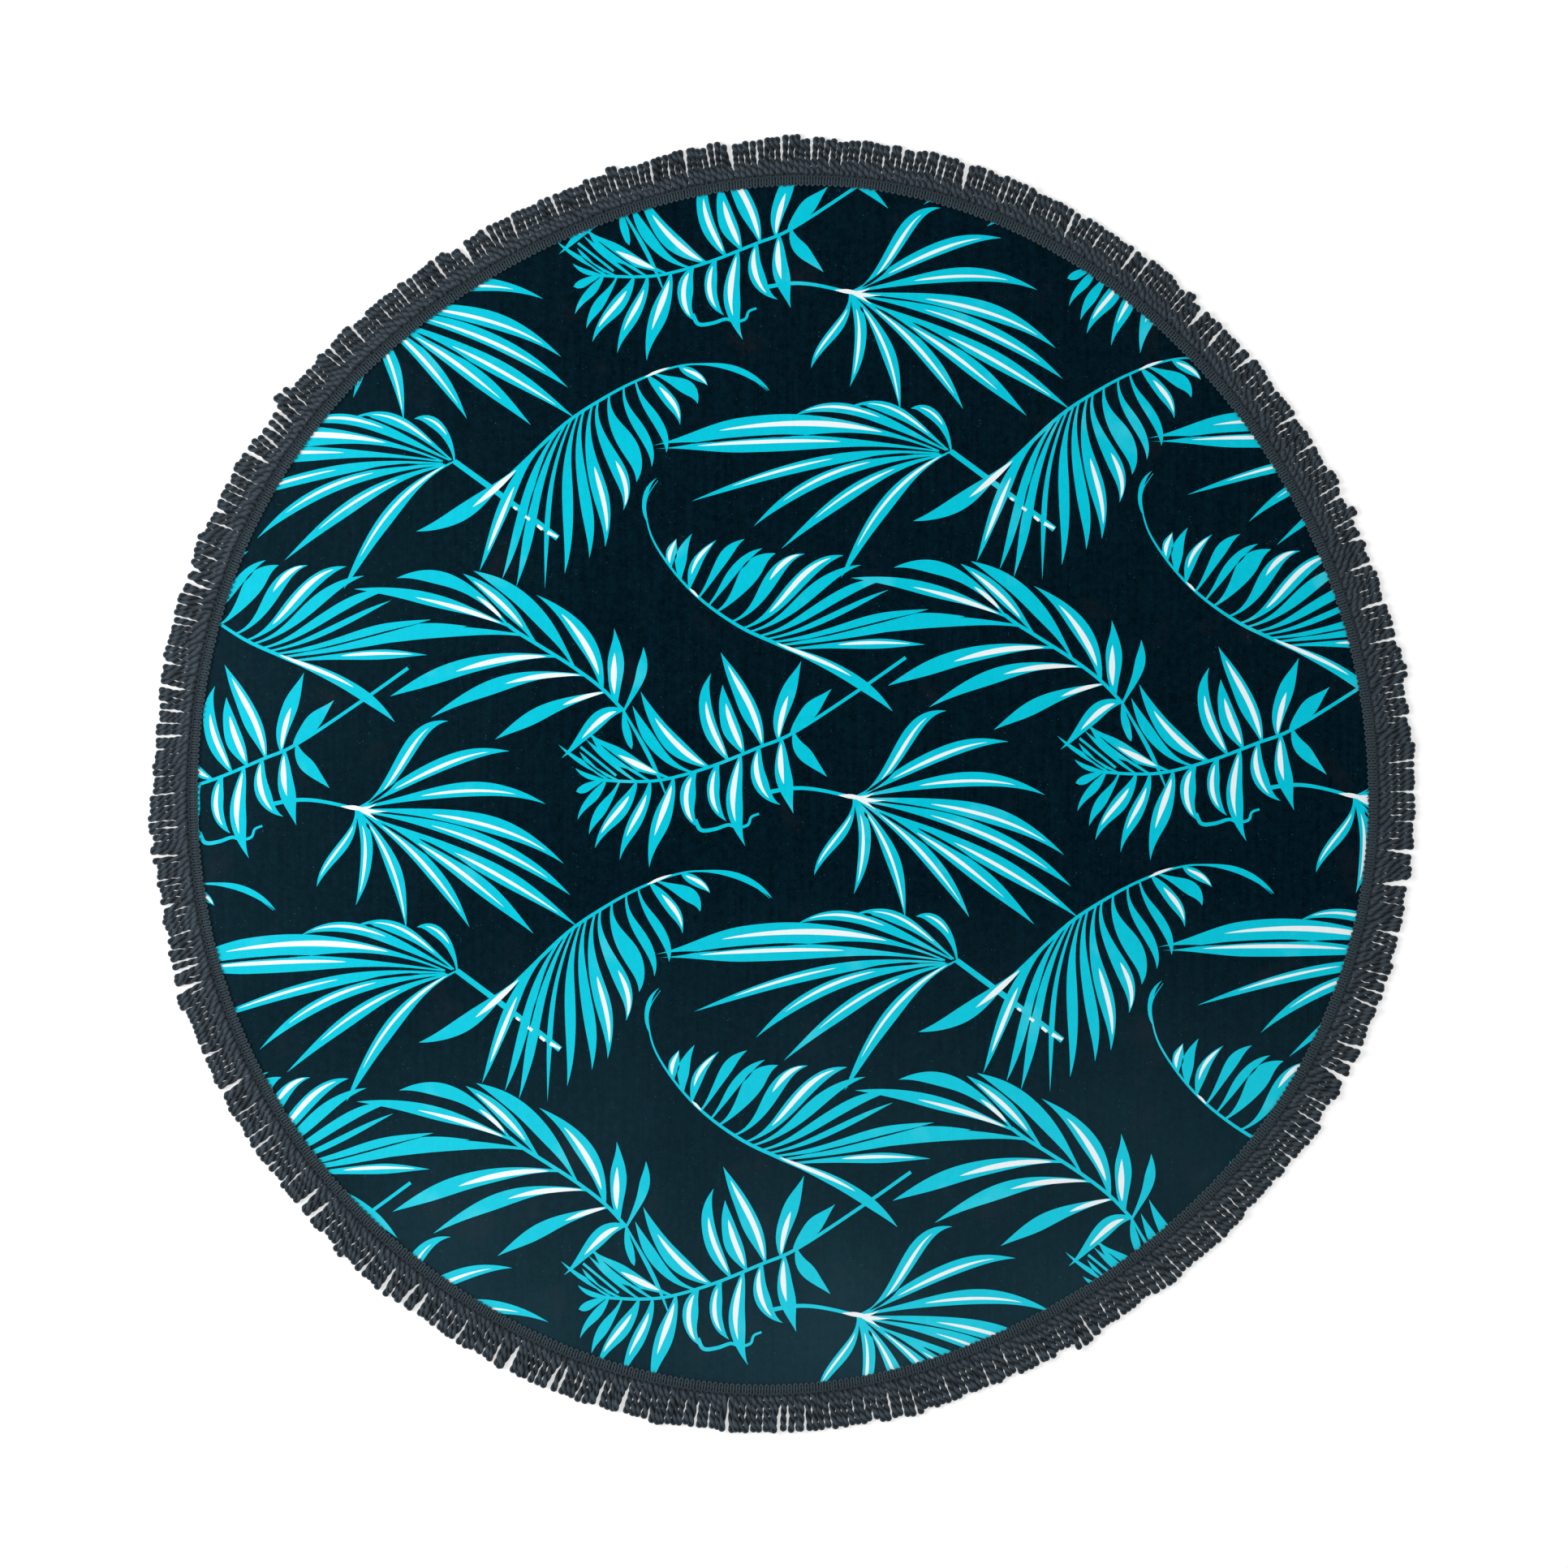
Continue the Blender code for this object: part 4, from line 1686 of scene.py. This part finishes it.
@dataclass
class Heading:
    """The gimp heading: a looped cord laid on a dark strip, bound by a woven band outside.

    The heights of the stitch and of the band's threads are counted in radii of the looped cord
    above the dark strip.
    """

    lie: Lie
    loops: int = 660
    loop_seed: int = 7
    dark_strip_inner: float = 0.6940
    dark_strip_thickness: float = 0.0006
    dark_strip_rounding: float = 0.0003
    dark_strip_steps: int = 480
    weaves_per_metre: float = 400.0
    cord_radius: float = 0.00110
    loop_inner: float = 0.6930
    loop_outer: float = 0.7058
    loop_drift: float = 0.03
    loop_unevenness: float = 0.00018
    turn_radius: float = 0.0024
    turn_swings_deg: tuple[float, ...] = (-66.0, -33.0, 0.0, 33.0, 66.0)
    turn_drop: float = 0.0002
    crossing_out: float = 0.0009
    bulb: float = 0.00016
    stitch_ring: float = 0.6978
    upper_ring: float = 0.7018
    leg_bends: tuple[float, ...] = (0.7036, 0.7002, 0.6990, 0.6966)
    stitch_pull: float = 0.00052
    stitch_reach: float = 0.0016
    stitch_radius: float = 0.00045
    stitch_height: float = 0.9
    thread_radius: float = 0.00052
    thread_rings: tuple[float, ...] = (0.7030, 0.7039, 0.7048, 0.7057, 0.7066)
    thread_over: float = 2.25
    thread_under: float = 1.30

    def bottom(self) -> float:
        """The height of the dark strip's underside, which the hem carries."""
        return self.lie.cloth_thickness + self.lie.sewn_gap

    def surface(self) -> float:
        """The height of the dark strip's upper face."""
        return self.bottom() + self.dark_strip_thickness

    def over_dark_strip(self, cord_radii: float) -> float:
        """The height of what lies so many radii of the looped cord above the dark strip."""
        return self.surface() + cord_radii * self.cord_radius

    def polar(self, radius: float, angle: float, height: float) -> Place:
        """A place from its nominal radius, angle and height."""
        return (*self.lie.at_radius(radius, angle), height)

    def loop_path(self, middle: float, inner: float) -> list[Place]:
        """One loop of the cord: in along one leg, round the end and out along the other.

        Args:
            middle: The angle of the loop's middle.
            inner: The nominal radius of its rounded end.

        Returns:
            The cord's places.
        """
        half_slot = 0.25 * math.tau / self.loops
        height = self.over_dark_strip(1.0)
        half_loop = half_slot + self.bulb / self.loop_inner
        turn_from = inner + self.turn_radius
        stops = (self.loop_outer, self.upper_ring, self.stitch_ring, turn_from, *self.leg_bends)
        leg = []
        for radius in sorted(stops, reverse=True):
            leg.append((radius, half_loop - self.drawn_in(radius) / self.loop_inner, height))
        end = []
        for swing in map(math.radians, self.turn_swings_deg):
            radius = turn_from - self.turn_radius * math.cos(swing)
            end.append((radius, half_loop * math.sin(swing), height - self.turn_drop))
        path = [self.polar(radius, middle - aside, level) for radius, aside, level in leg]
        path += [self.polar(radius, middle + aside, level) for radius, aside, level in end + leg[::-1]]
        path.append(self.polar(self.loop_outer + self.crossing_out, middle + 2.0 * half_slot, height))
        return path

    def drawn_in(self, radius: float) -> float:
        """How far the stitches draw one leg of a loop towards the other."""
        apart = min(abs(radius - ring) for ring in (self.stitch_ring, self.upper_ring))
        return self.stitch_pull * smooth_step(apart, self.stitch_reach, 0.0)

    def gimp(self) -> bpy.types.Object:
        """Build the looped cord and the stitch that crosses its loops.

        Returns:
            The piece.
        """
        draw = random.Random(self.loop_seed)
        slot = math.tau / self.loops
        path = []
        for loop in range(self.loops):
            middle = (loop + 0.5 + draw.gauss(0.0, self.loop_drift)) * slot
            path += self.loop_path(middle, self.loop_inner + draw.gauss(0.0, self.loop_unevenness))
        height = self.over_dark_strip(self.stitch_height)
        stitch = [self.polar(self.stitch_ring, 0.5 * step * slot, height) for step in range(2 * self.loops)]
        parts = (
            Tube(sides=6, ring_closed=True).swept(np.array([path]), self.cord_radius),
            Tube(sides=4, ring_closed=True).swept(np.array([stitch]), self.stitch_radius),
        )
        return yarn_piece("heading_gimp", parts, GIMP_YARN)

    def band(self) -> bpy.types.Object:
        """Build the woven band that binds the loops and the cords' roots.

        Returns:
            The piece.
        """
        legs = 2 * self.loops
        heights = (self.over_dark_strip(self.thread_over), self.over_dark_strip(self.thread_under))
        paths = []
        for ring, radius in enumerate(self.thread_rings):
            path = []
            for step in range(legs):
                path.append(self.polar(radius, (step + 0.5) * math.tau / legs, heights[(step + ring) % 2]))
            paths.append(path)
        threads = Tube(sides=5, ring_closed=True).swept(np.array(paths), self.thread_radius)
        return yarn_piece("heading_band", (threads,), BAND_YARN)

    def dark_strip(self) -> bpy.types.Object:
        """Build the dark strip under the loops, which is what shows dark in the slots between them.

        Returns:
            The piece.
        """
        inner, outer = self.dark_strip_inner, self.lie.heading_outer_radius
        half_way = 0.5 * (self.bottom() + self.surface())
        profile = (
            (inner, self.bottom()),
            (outer, self.bottom()),
            (outer + self.dark_strip_rounding, half_way),
            (outer, self.surface()),
            (inner, self.surface()),
            (inner - self.dark_strip_rounding, half_way),
        )
        verts = []
        for step in range(self.dark_strip_steps):
            verts += [self.polar(radius, math.tau * step / self.dark_strip_steps, z) for radius, z in profile]
        first = np.arange(len(verts)).reshape(self.dark_strip_steps, len(profile))
        quads = around_quads(first, np.roll(first, -1, axis=0)).reshape(-1, 4)
        verts = np.array(verts)
        weave = np.ones((quads.size, 2))
        weave[:, 0] = verts[quads.reshape(-1)][:, 0] * self.weaves_per_metre
        return yarn_piece("heading_dark_strip", (Tubing(verts, quads, weave),), DARK_STRIP_YARN)


# ---------------------------------------------------------------- the fringe


class Lock(NamedTuple):
    """Two or three cords that lie together: where they start and where their tips lie."""

    first_cord: int
    cords: int
    tip_angle: float
    tip_radius: float


class Change(NamedTuple):
    """What a cord gains along the way, and the shares of its length between which it comes."""

    gain: float
    start: float
    end: float

    def at(self, share: float) -> float:
        """How much of the gain has come at a share of the length."""
        return self.gain * smooth_step(share, self.start, self.end)


@dataclass(frozen=True)
class Cord:
    """One two-ply cord: a strand that runs out, turns back at the tip and is twisted on itself."""

    lie: Lie
    root_angle: float
    tip_angle: float
    tip_radius: float
    turns: float
    sway: float
    hook: float
    lift: float
    phase: float
    slimmer: float
    root_radius: float = 0.7046
    root_height: float = 0.0050
    ply_radius: float = 0.00228
    ply_spread: float = 0.14
    twist_aside: float = 0.00172
    twist_rise: float = 0.00130
    loop_radius: float = 0.00174
    loop_spread: float = 0.54
    steps_out: int = 25
    loop_steps: int = 7
    curved_drift: Change = Change(0.65, 0.02, 1.0)
    straight_drift: float = 0.35
    comes_down: Change = Change(1.0, 0.08, 0.30)
    rests_on_rise: float = 0.9
    rides_up: Change = Change(1.0, 0.22, 0.55)
    hooks: Change = Change(1.0, 0.60, 1.0)
    slims: Change = Change(1.0, 0.25, 0.65)
    fills_again: Change = Change(1.0, 0.86, 1.0)
    opens: Change = Change(1.0, 0.84, 1.0)
    twist_starts: Change = Change(1.0, 0.0, 0.12)
    bound_root: float = 0.74
    fullness: tuple[Change, ...] = (
        Change(0.40, 0.0, 0.09),
        Change(-0.14, 0.25, 0.55),
        Change(0.15, 0.72, 0.85),
        Change(-0.05, 0.90, 1.0),
    )

    def middle(self, share: float) -> Place:
        """Find the cord's middle.

        Args:
            share: The share of its length.

        Returns:
            The middle's radius, angle and height.
        """
        end_radius = self.tip_radius - self.loop_radius - self.ply_radius
        radius = self.root_radius + (end_radius - self.root_radius) * share
        drift = self.curved_drift.at(share) + self.straight_drift * share
        aside = self.sway * math.sin(math.pi * share) + self.hook * self.hooks.at(share)
        angle = self.root_angle + (self.tip_angle - self.root_angle) * drift + aside / radius
        resting = self.ply_radius + self.rests_on_rise * self.twist_rise
        height = self.root_height + (resting - self.root_height) * self.comes_down.at(share)
        return radius, angle, height + self.lift * self.rides_up.at(share)

    def slimness(self, share: float) -> float:
        """How wide the cord is at a share of its length, against its root."""
        return 1.0 - self.slimmer * self.slims.at(share) * (1.0 - self.fills_again.at(share))

    def turned_by(self, share: float) -> float:
        """How far the plies are twisted round each other at a share of the length."""
        return math.tau * self.turns * (1.0 - share) + self.phase * (1.0 - share) ** 2

    def strand(self, share: float, side: float) -> Place:
        """Find a place of one ply.

        Args:
            share: The share of the cord's length.
            side: 1.0 for the ply that runs out, -1.0 for the one that comes back.

        Returns:
            The place.
        """
        radius, angle, height = self.middle(share)
        turned_by = self.turned_by(share)
        slim = self.slimness(share)
        wide = slim * self.twist_aside
        wide += (self.loop_radius - wide) * self.opens.at(share)
        x, y = self.lie.at_radius(radius, angle + side * wide * math.cos(turned_by) / radius)
        rise = side * slim * self.twist_rise * math.sin(turned_by) * self.twist_starts.at(share)
        return x, y, max(self.ply_at(share), height + rise)

    def ply_at(self, share: float) -> float:
        """Work out one ply's radius: bound at the root, full past it and at the tip.

        Args:
            share: The share of the cord's length.

        Returns:
            The radius, greater where the plies lie side by side.
        """
        full = self.bound_root + sum(change.at(share) for change in self.fullness)
        spread = 1.0 + self.ply_spread * math.sin(self.turned_by(share)) ** 2
        return self.ply_radius * full * spread * (0.5 + 0.5 * self.slimness(share))

    def path(self) -> tuple[list[Place], list[Place]]:
        """Lay the strand, out to the tip and back.

        Returns:
            Its places in order, and the cord's middle beside each.
        """
        shares = self.shares_out()
        out = [self.strand(share, 1.0) for share in shares]
        back = [self.strand(share, -1.0) for share in reversed(shares)]
        cores = []
        for share in shares:
            radius, angle, height = self.middle(share)
            cores.append((*self.lie.at_radius(radius, angle), height))
        loop = self.tip_loop(Vector(out[-1]), Vector(back[0]))
        return out + loop + back, cores + [cores[-1]] * self.loop_steps + cores[::-1]

    def shares_out(self) -> list[float]:
        """Even shares of the cord's length, from its root to its tip."""
        return [step / (self.steps_out - 1) for step in range(self.steps_out)]

    def tip_loop(self, start: Vector, end: Vector) -> list[Place]:
        """Turn the strand back at the tip.

        Args:
            start: Where it arrives.
            end: Where it sets off back.

        Returns:
            The places between them.
        """
        radius, angle, _ = self.middle(1.0)
        here = Vector(self.lie.at_radius(radius, angle))
        ahead = (Vector(self.lie.at_radius(radius + MM, angle)) - here).normalized()
        loop = []
        for step in range(1, self.loop_steps + 1):
            turn = math.pi * step / (self.loop_steps + 1)
            place = start.lerp(end, 0.5 - self.loop_spread * math.cos(turn))
            place += Vector((ahead.x, ahead.y, 0.0)) * self.loop_radius * math.sin(turn)
            place.z = max(place.z, self.ply_at(1.0))
            loop.append(tuple(place))
        return loop

    def radii(self) -> list[float]:
        """The strand's radius at each place: slimmer past the middle, fuller at the tip."""
        out = [self.ply_at(share) for share in self.shares_out()]
        return out + [out[-1]] * self.loop_steps + out[::-1]


@dataclass
class Fringe:
    """The bullion fringe: 660 cords that lie out round the towel in tufts with slits between.

    A pair of numbers is a range, or a spread or chance where the fringe lies tight and what its
    looseness adds.  The chance of a tighter twist grows with the sine of the angle instead.
    """

    lie: Lie
    cords: int = 660
    locks: int = 280
    locks_in_tuft: tuple[int, int] = (4, 7)
    slit: Span = (0.0001, 0.0008)
    tuft_place: Span = (0.15, 0.85)
    length_spread: float = 0.0013
    long_lock_chance: float = 0.07
    longer_by: Span = (0.002, 0.005)
    cord_width: float = 0.0070
    lying_pitch: float = 0.0069
    crowded_share: float = 0.75
    looseness_mean: float = 0.44
    looseness_swing: float = 0.10
    locks_that_lean: tuple[int, int] = (2, 5)
    tuft_lean: float = 0.0030
    lock_lean: float = 0.0008
    wander_chance: Span = (0.02, 0.08)
    wander_by: Span = (0.003, 0.006)
    slimmer_top: float = 0.14
    slimmer_by: Span = (0.0, 0.08)
    tip_spread: float = 0.0007
    sway_spread: float = 0.0010
    hook_spread: Span = (0.0009, 0.0007)
    phase_spread: Span = (0.5, 0.9)
    turn_spread: Span = (0.05, 0.05)
    lift: Span = (0.0028, 0.0036)
    turns: tuple[float, ...] = (2.0, 2.0, 2.0, 1.5)
    tighter_by: float = 0.5
    tighter_chance: Span = (0.15, 0.8)
    lock_seed: int = 41
    cord_seed: int = 18
    sides: int = 7
    arcs: int = 4

    def plan_locks(self) -> list[Lock]:
        """Share the cords out into locks, which gather in tufts with slits between them.

        Returns:
            The locks in order round the towel.
        """
        draw = random.Random(self.lock_seed)
        tip_radius = self.lie.tip_radius
        counts = [3] * (self.cords - 2 * self.locks) + [2] * (3 * self.locks - self.cords)
        draw.shuffle(counts)
        slot = math.tau / self.cords
        locks: list[Lock] = []
        first_cord = 0
        while len(locks) < self.locks:
            tuft = counts[len(locks):len(locks) + draw.randint(*self.locks_in_tuft)]
            gaps = [draw.uniform(*self.slit) for _ in tuft]
            widths = [count * self.cord_width for count in tuft]
            room = sum(tuft) * slot * tip_radius
            spare = max(0.0, room - sum(widths) - sum(gaps))
            place = first_cord * slot * tip_radius + spare * draw.uniform(*self.tuft_place)
            for count, gap, width in zip(tuft, gaps, widths):
                place += 0.5 * gap
                length_change = draw.gauss(0.0, self.length_spread)
                if draw.random() < self.long_lock_chance:
                    length_change += draw.uniform(*self.longer_by)
                tip_angle = (place + 0.5 * width) / tip_radius
                locks.append(Lock(first_cord, count, tip_angle, tip_radius + length_change))
                first_cord += count
                place += width + 0.5 * gap
        return locks

    def looseness(self, angle: float) -> float:
        """How loosely the fringe lies at an angle: most at the lower left, least at the upper right."""
        swing = self.looseness_swing
        return self.looseness_mean - swing * math.cos(angle) - swing * math.sin(angle)

    def tuft_shifts(self, locks: Sequence[Lock], draw: random.Random) -> list[float]:
        """How far each lock's tips lean to one side, as a whole tuft leans.

        Args:
            locks: The locks in order.
            draw: The fringe's random numbers.

        Returns:
            A sideways shift for each lock.
        """
        shifts: list[float] = []
        while len(shifts) < len(locks):
            loose = self.looseness(locks[len(shifts)].tip_angle)
            tuft = draw.gauss(0.0, self.tuft_lean * loose)
            shifts += [
                tuft + draw.gauss(0.0, self.lock_lean) for _ in range(draw.randint(*self.locks_that_lean))
            ]
        return shifts[:len(locks)]

    def lay_cords(self) -> list[Cord]:
        """Settle how each cord lies; one that lands on its neighbour's tip rides up on it.

        Returns:
            The cords in order round the towel.
        """
        draw = random.Random(self.cord_seed)
        locks = self.plan_locks()
        cords: list[Cord] = []
        for lock, shift in zip(locks, self.tuft_shifts(locks, draw)):
            for index in range(lock.cords):
                root_angle = (lock.first_cord + index + 0.5) * math.tau / self.cords
                aside = shift + (index - 0.5 * (lock.cords - 1)) * self.lying_pitch
                tip_angle = lock.tip_angle + aside / self.lie.tip_radius
                cords.append(self.lay_cord(lock, root_angle, tip_angle, cords[-1:], draw))
        return cords

    def lay_cord(
        self, lock: Lock, root_angle: float, tip_angle: float, before: list[Cord], draw: random.Random
    ) -> Cord:
        """Settle how one cord lies.

        Args:
            lock: The lock that it belongs to.
            root_angle: Where it starts.
            tip_angle: Where its tip would lie if it didn't wander.
            before: The cord before it, if there is one.
            draw: The fringe's random numbers, which are drawn in a fixed order.

        Returns:
            The cord.
        """

        def by_looseness(pair: Span) -> float:
            """A spread or a chance as it is where this cord lies."""
            return pair[0] + pair[1] * loose

        loose = self.looseness(root_angle)
        if draw.random() < by_looseness(self.wander_chance):
            wander = draw.choice((-1.0, 1.0)) * draw.uniform(*self.wander_by)
            tip_angle += wander / self.lie.tip_radius
        crowded = any(self.is_crowded(cord, tip_angle) for cord in before)
        slimmer = self.slimmer_top * max(0.0, math.sin(root_angle)) ** 2 + draw.uniform(*self.slimmer_by)
        return Cord(
            lie=self.lie,
            root_angle=root_angle,
            tip_angle=tip_angle,
            tip_radius=lock.tip_radius + draw.gauss(0.0, self.tip_spread),
            turns=self.turns_at(root_angle, draw) + draw.gauss(0.0, by_looseness(self.turn_spread)),
            sway=draw.gauss(0.0, self.sway_spread * loose),
            hook=draw.gauss(0.0, by_looseness(self.hook_spread)),
            lift=draw.uniform(*self.lift) if crowded else 0.0,
            phase=draw.gauss(0.0, by_looseness(self.phase_spread)),
            slimmer=slimmer,
        )

    def turns_at(self, angle: float, draw: random.Random) -> float:
        """Draw the turns of twist in a cord: often half a turn more along the top.

        Args:
            angle: Where the cord lies.
            draw: The fringe's random numbers.

        Returns:
            The turns.
        """
        chance = self.tighter_chance[0] + self.tighter_chance[1] * math.sin(angle)
        tighter = self.tighter_by if draw.random() < chance else 0.0
        return draw.choice(self.turns) + tighter

    def is_crowded(self, before: Cord, tip_angle: float) -> bool:
        """Whether a tip comes too near the one before it to lie beside it."""
        apart = (tip_angle - before.tip_angle) * self.lie.tip_radius
        return apart < self.crowded_share * self.lying_pitch and before.lift == 0.0

    def build(self) -> list[bpy.types.Object]:
        """Build the cords, in arcs.

        Returns:
            The pieces, counter-clockwise from the right.
        """
        cords = self.lay_cords()
        laid = [cord.path() for cord in cords]
        paths = np.array([places for places, _ in laid])
        cores = np.array([middles for _, middles in laid])
        radii = np.array([cord.radii() for cord in cords])
        pieces = []
        for arc, numbers in enumerate(np.array_split(np.arange(len(cords)), self.arcs)):
            strands = Tube(self.sides).swept(paths[numbers], radii[numbers], cores[numbers])
            pieces.append(yarn_piece(f"fringe_cords_{arc + 1}", (strands,), CORD_YARN))
        return pieces


# ---------------------------------------------------------------- the studio


@dataclass
class Studio:
    """A plain pale floor, soft light and a camera straight above."""

    floor_half: float = 9.0
    floor_gap: float = 0.0002
    light_place: Place = (-3.0, 0.2, 2.6)
    light_size: float = 2.2
    light_watts: float = 125.0
    sky_strength: float = 0.65
    camera_height: float = 6.0
    view_width: float = 1.841
    middle: Point = (0.0031, 0.0029)
    sensor_mm: float = 36.0
    sees_to: float = 60.0

    def build(self) -> None:
        """Set up the floor, the light, the sky and the camera."""
        self.add_floor()
        self.add_light()
        self.add_sky()
        self.add_camera()

    def add_floor(self) -> None:
        """Lay the floor just under the towel."""
        half = self.floor_half
        corners = ((-half, -half, 0.0), (half, -half, 0.0), (half, half, 0.0), (-half, half, 0.0))
        mesh = bpy.data.meshes.new("floor")
        mesh.from_pydata(corners, [], [(0, 1, 2, 3)])
        floor = add_object("floor", mesh, [FloorFinish()])
        floor.location.z = -self.floor_gap

    def add_light(self) -> None:
        """Add one soft light from the left, which looks at the towel's middle."""
        lamp = bpy.data.lights.new("key", "AREA")
        lamp.shape = "SQUARE"
        lamp.size = self.light_size
        lamp.energy = self.light_watts
        light = bpy.data.objects.new("key", lamp)
        light.location = self.light_place
        light.rotation_euler = (-Vector(self.light_place)).to_track_quat("-Z", "Y").to_euler()
        bpy.context.scene.collection.objects.link(light)

    def add_sky(self) -> None:
        """Give an even white light from all round."""
        world = bpy.data.worlds.new("studio")
        world.use_nodes = True
        sky = world.node_tree.nodes["Background"]
        sky.inputs["Color"].default_value = (1.0, 1.0, 1.0, 1.0)
        sky.inputs["Strength"].default_value = self.sky_strength
        bpy.context.scene.world = world

    def add_camera(self) -> None:
        """Hang the camera straight above, with a long lens."""
        data = bpy.data.cameras.new("camera")
        data.sensor_width = self.sensor_mm
        data.lens = self.sensor_mm * self.camera_height / self.view_width
        data.clip_end = self.sees_to
        camera = bpy.data.objects.new("camera", data)
        camera.location = (*self.middle, self.camera_height)
        bpy.context.scene.collection.objects.link(camera)
        bpy.context.scene.camera = camera
        bpy.context.scene.view_settings.view_transform = "Standard"


# ---------------------------------------------------------------- assembly


def main() -> None:
    """Build the towel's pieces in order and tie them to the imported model."""
    logging.basicConfig(level=logging.INFO, format="%(name)s: %(message)s")
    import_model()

    lie = Lie()
    cloth = TowelCloth(lie).build()
    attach(cloth, "root")
    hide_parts("towel_cloth")

    heading = Heading(lie)
    trim = [heading.dark_strip(), heading.gimp(), heading.band(), *Fringe(lie).build()]
    for piece in trim:
        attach(piece, "root")
        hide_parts("fringe")
    for piece in (cloth, *trim):
        LOG.info("%s: %d faces", piece.name, len(piece.data.polygons))

    Studio().build()


if __name__ == "__main__":
    main()
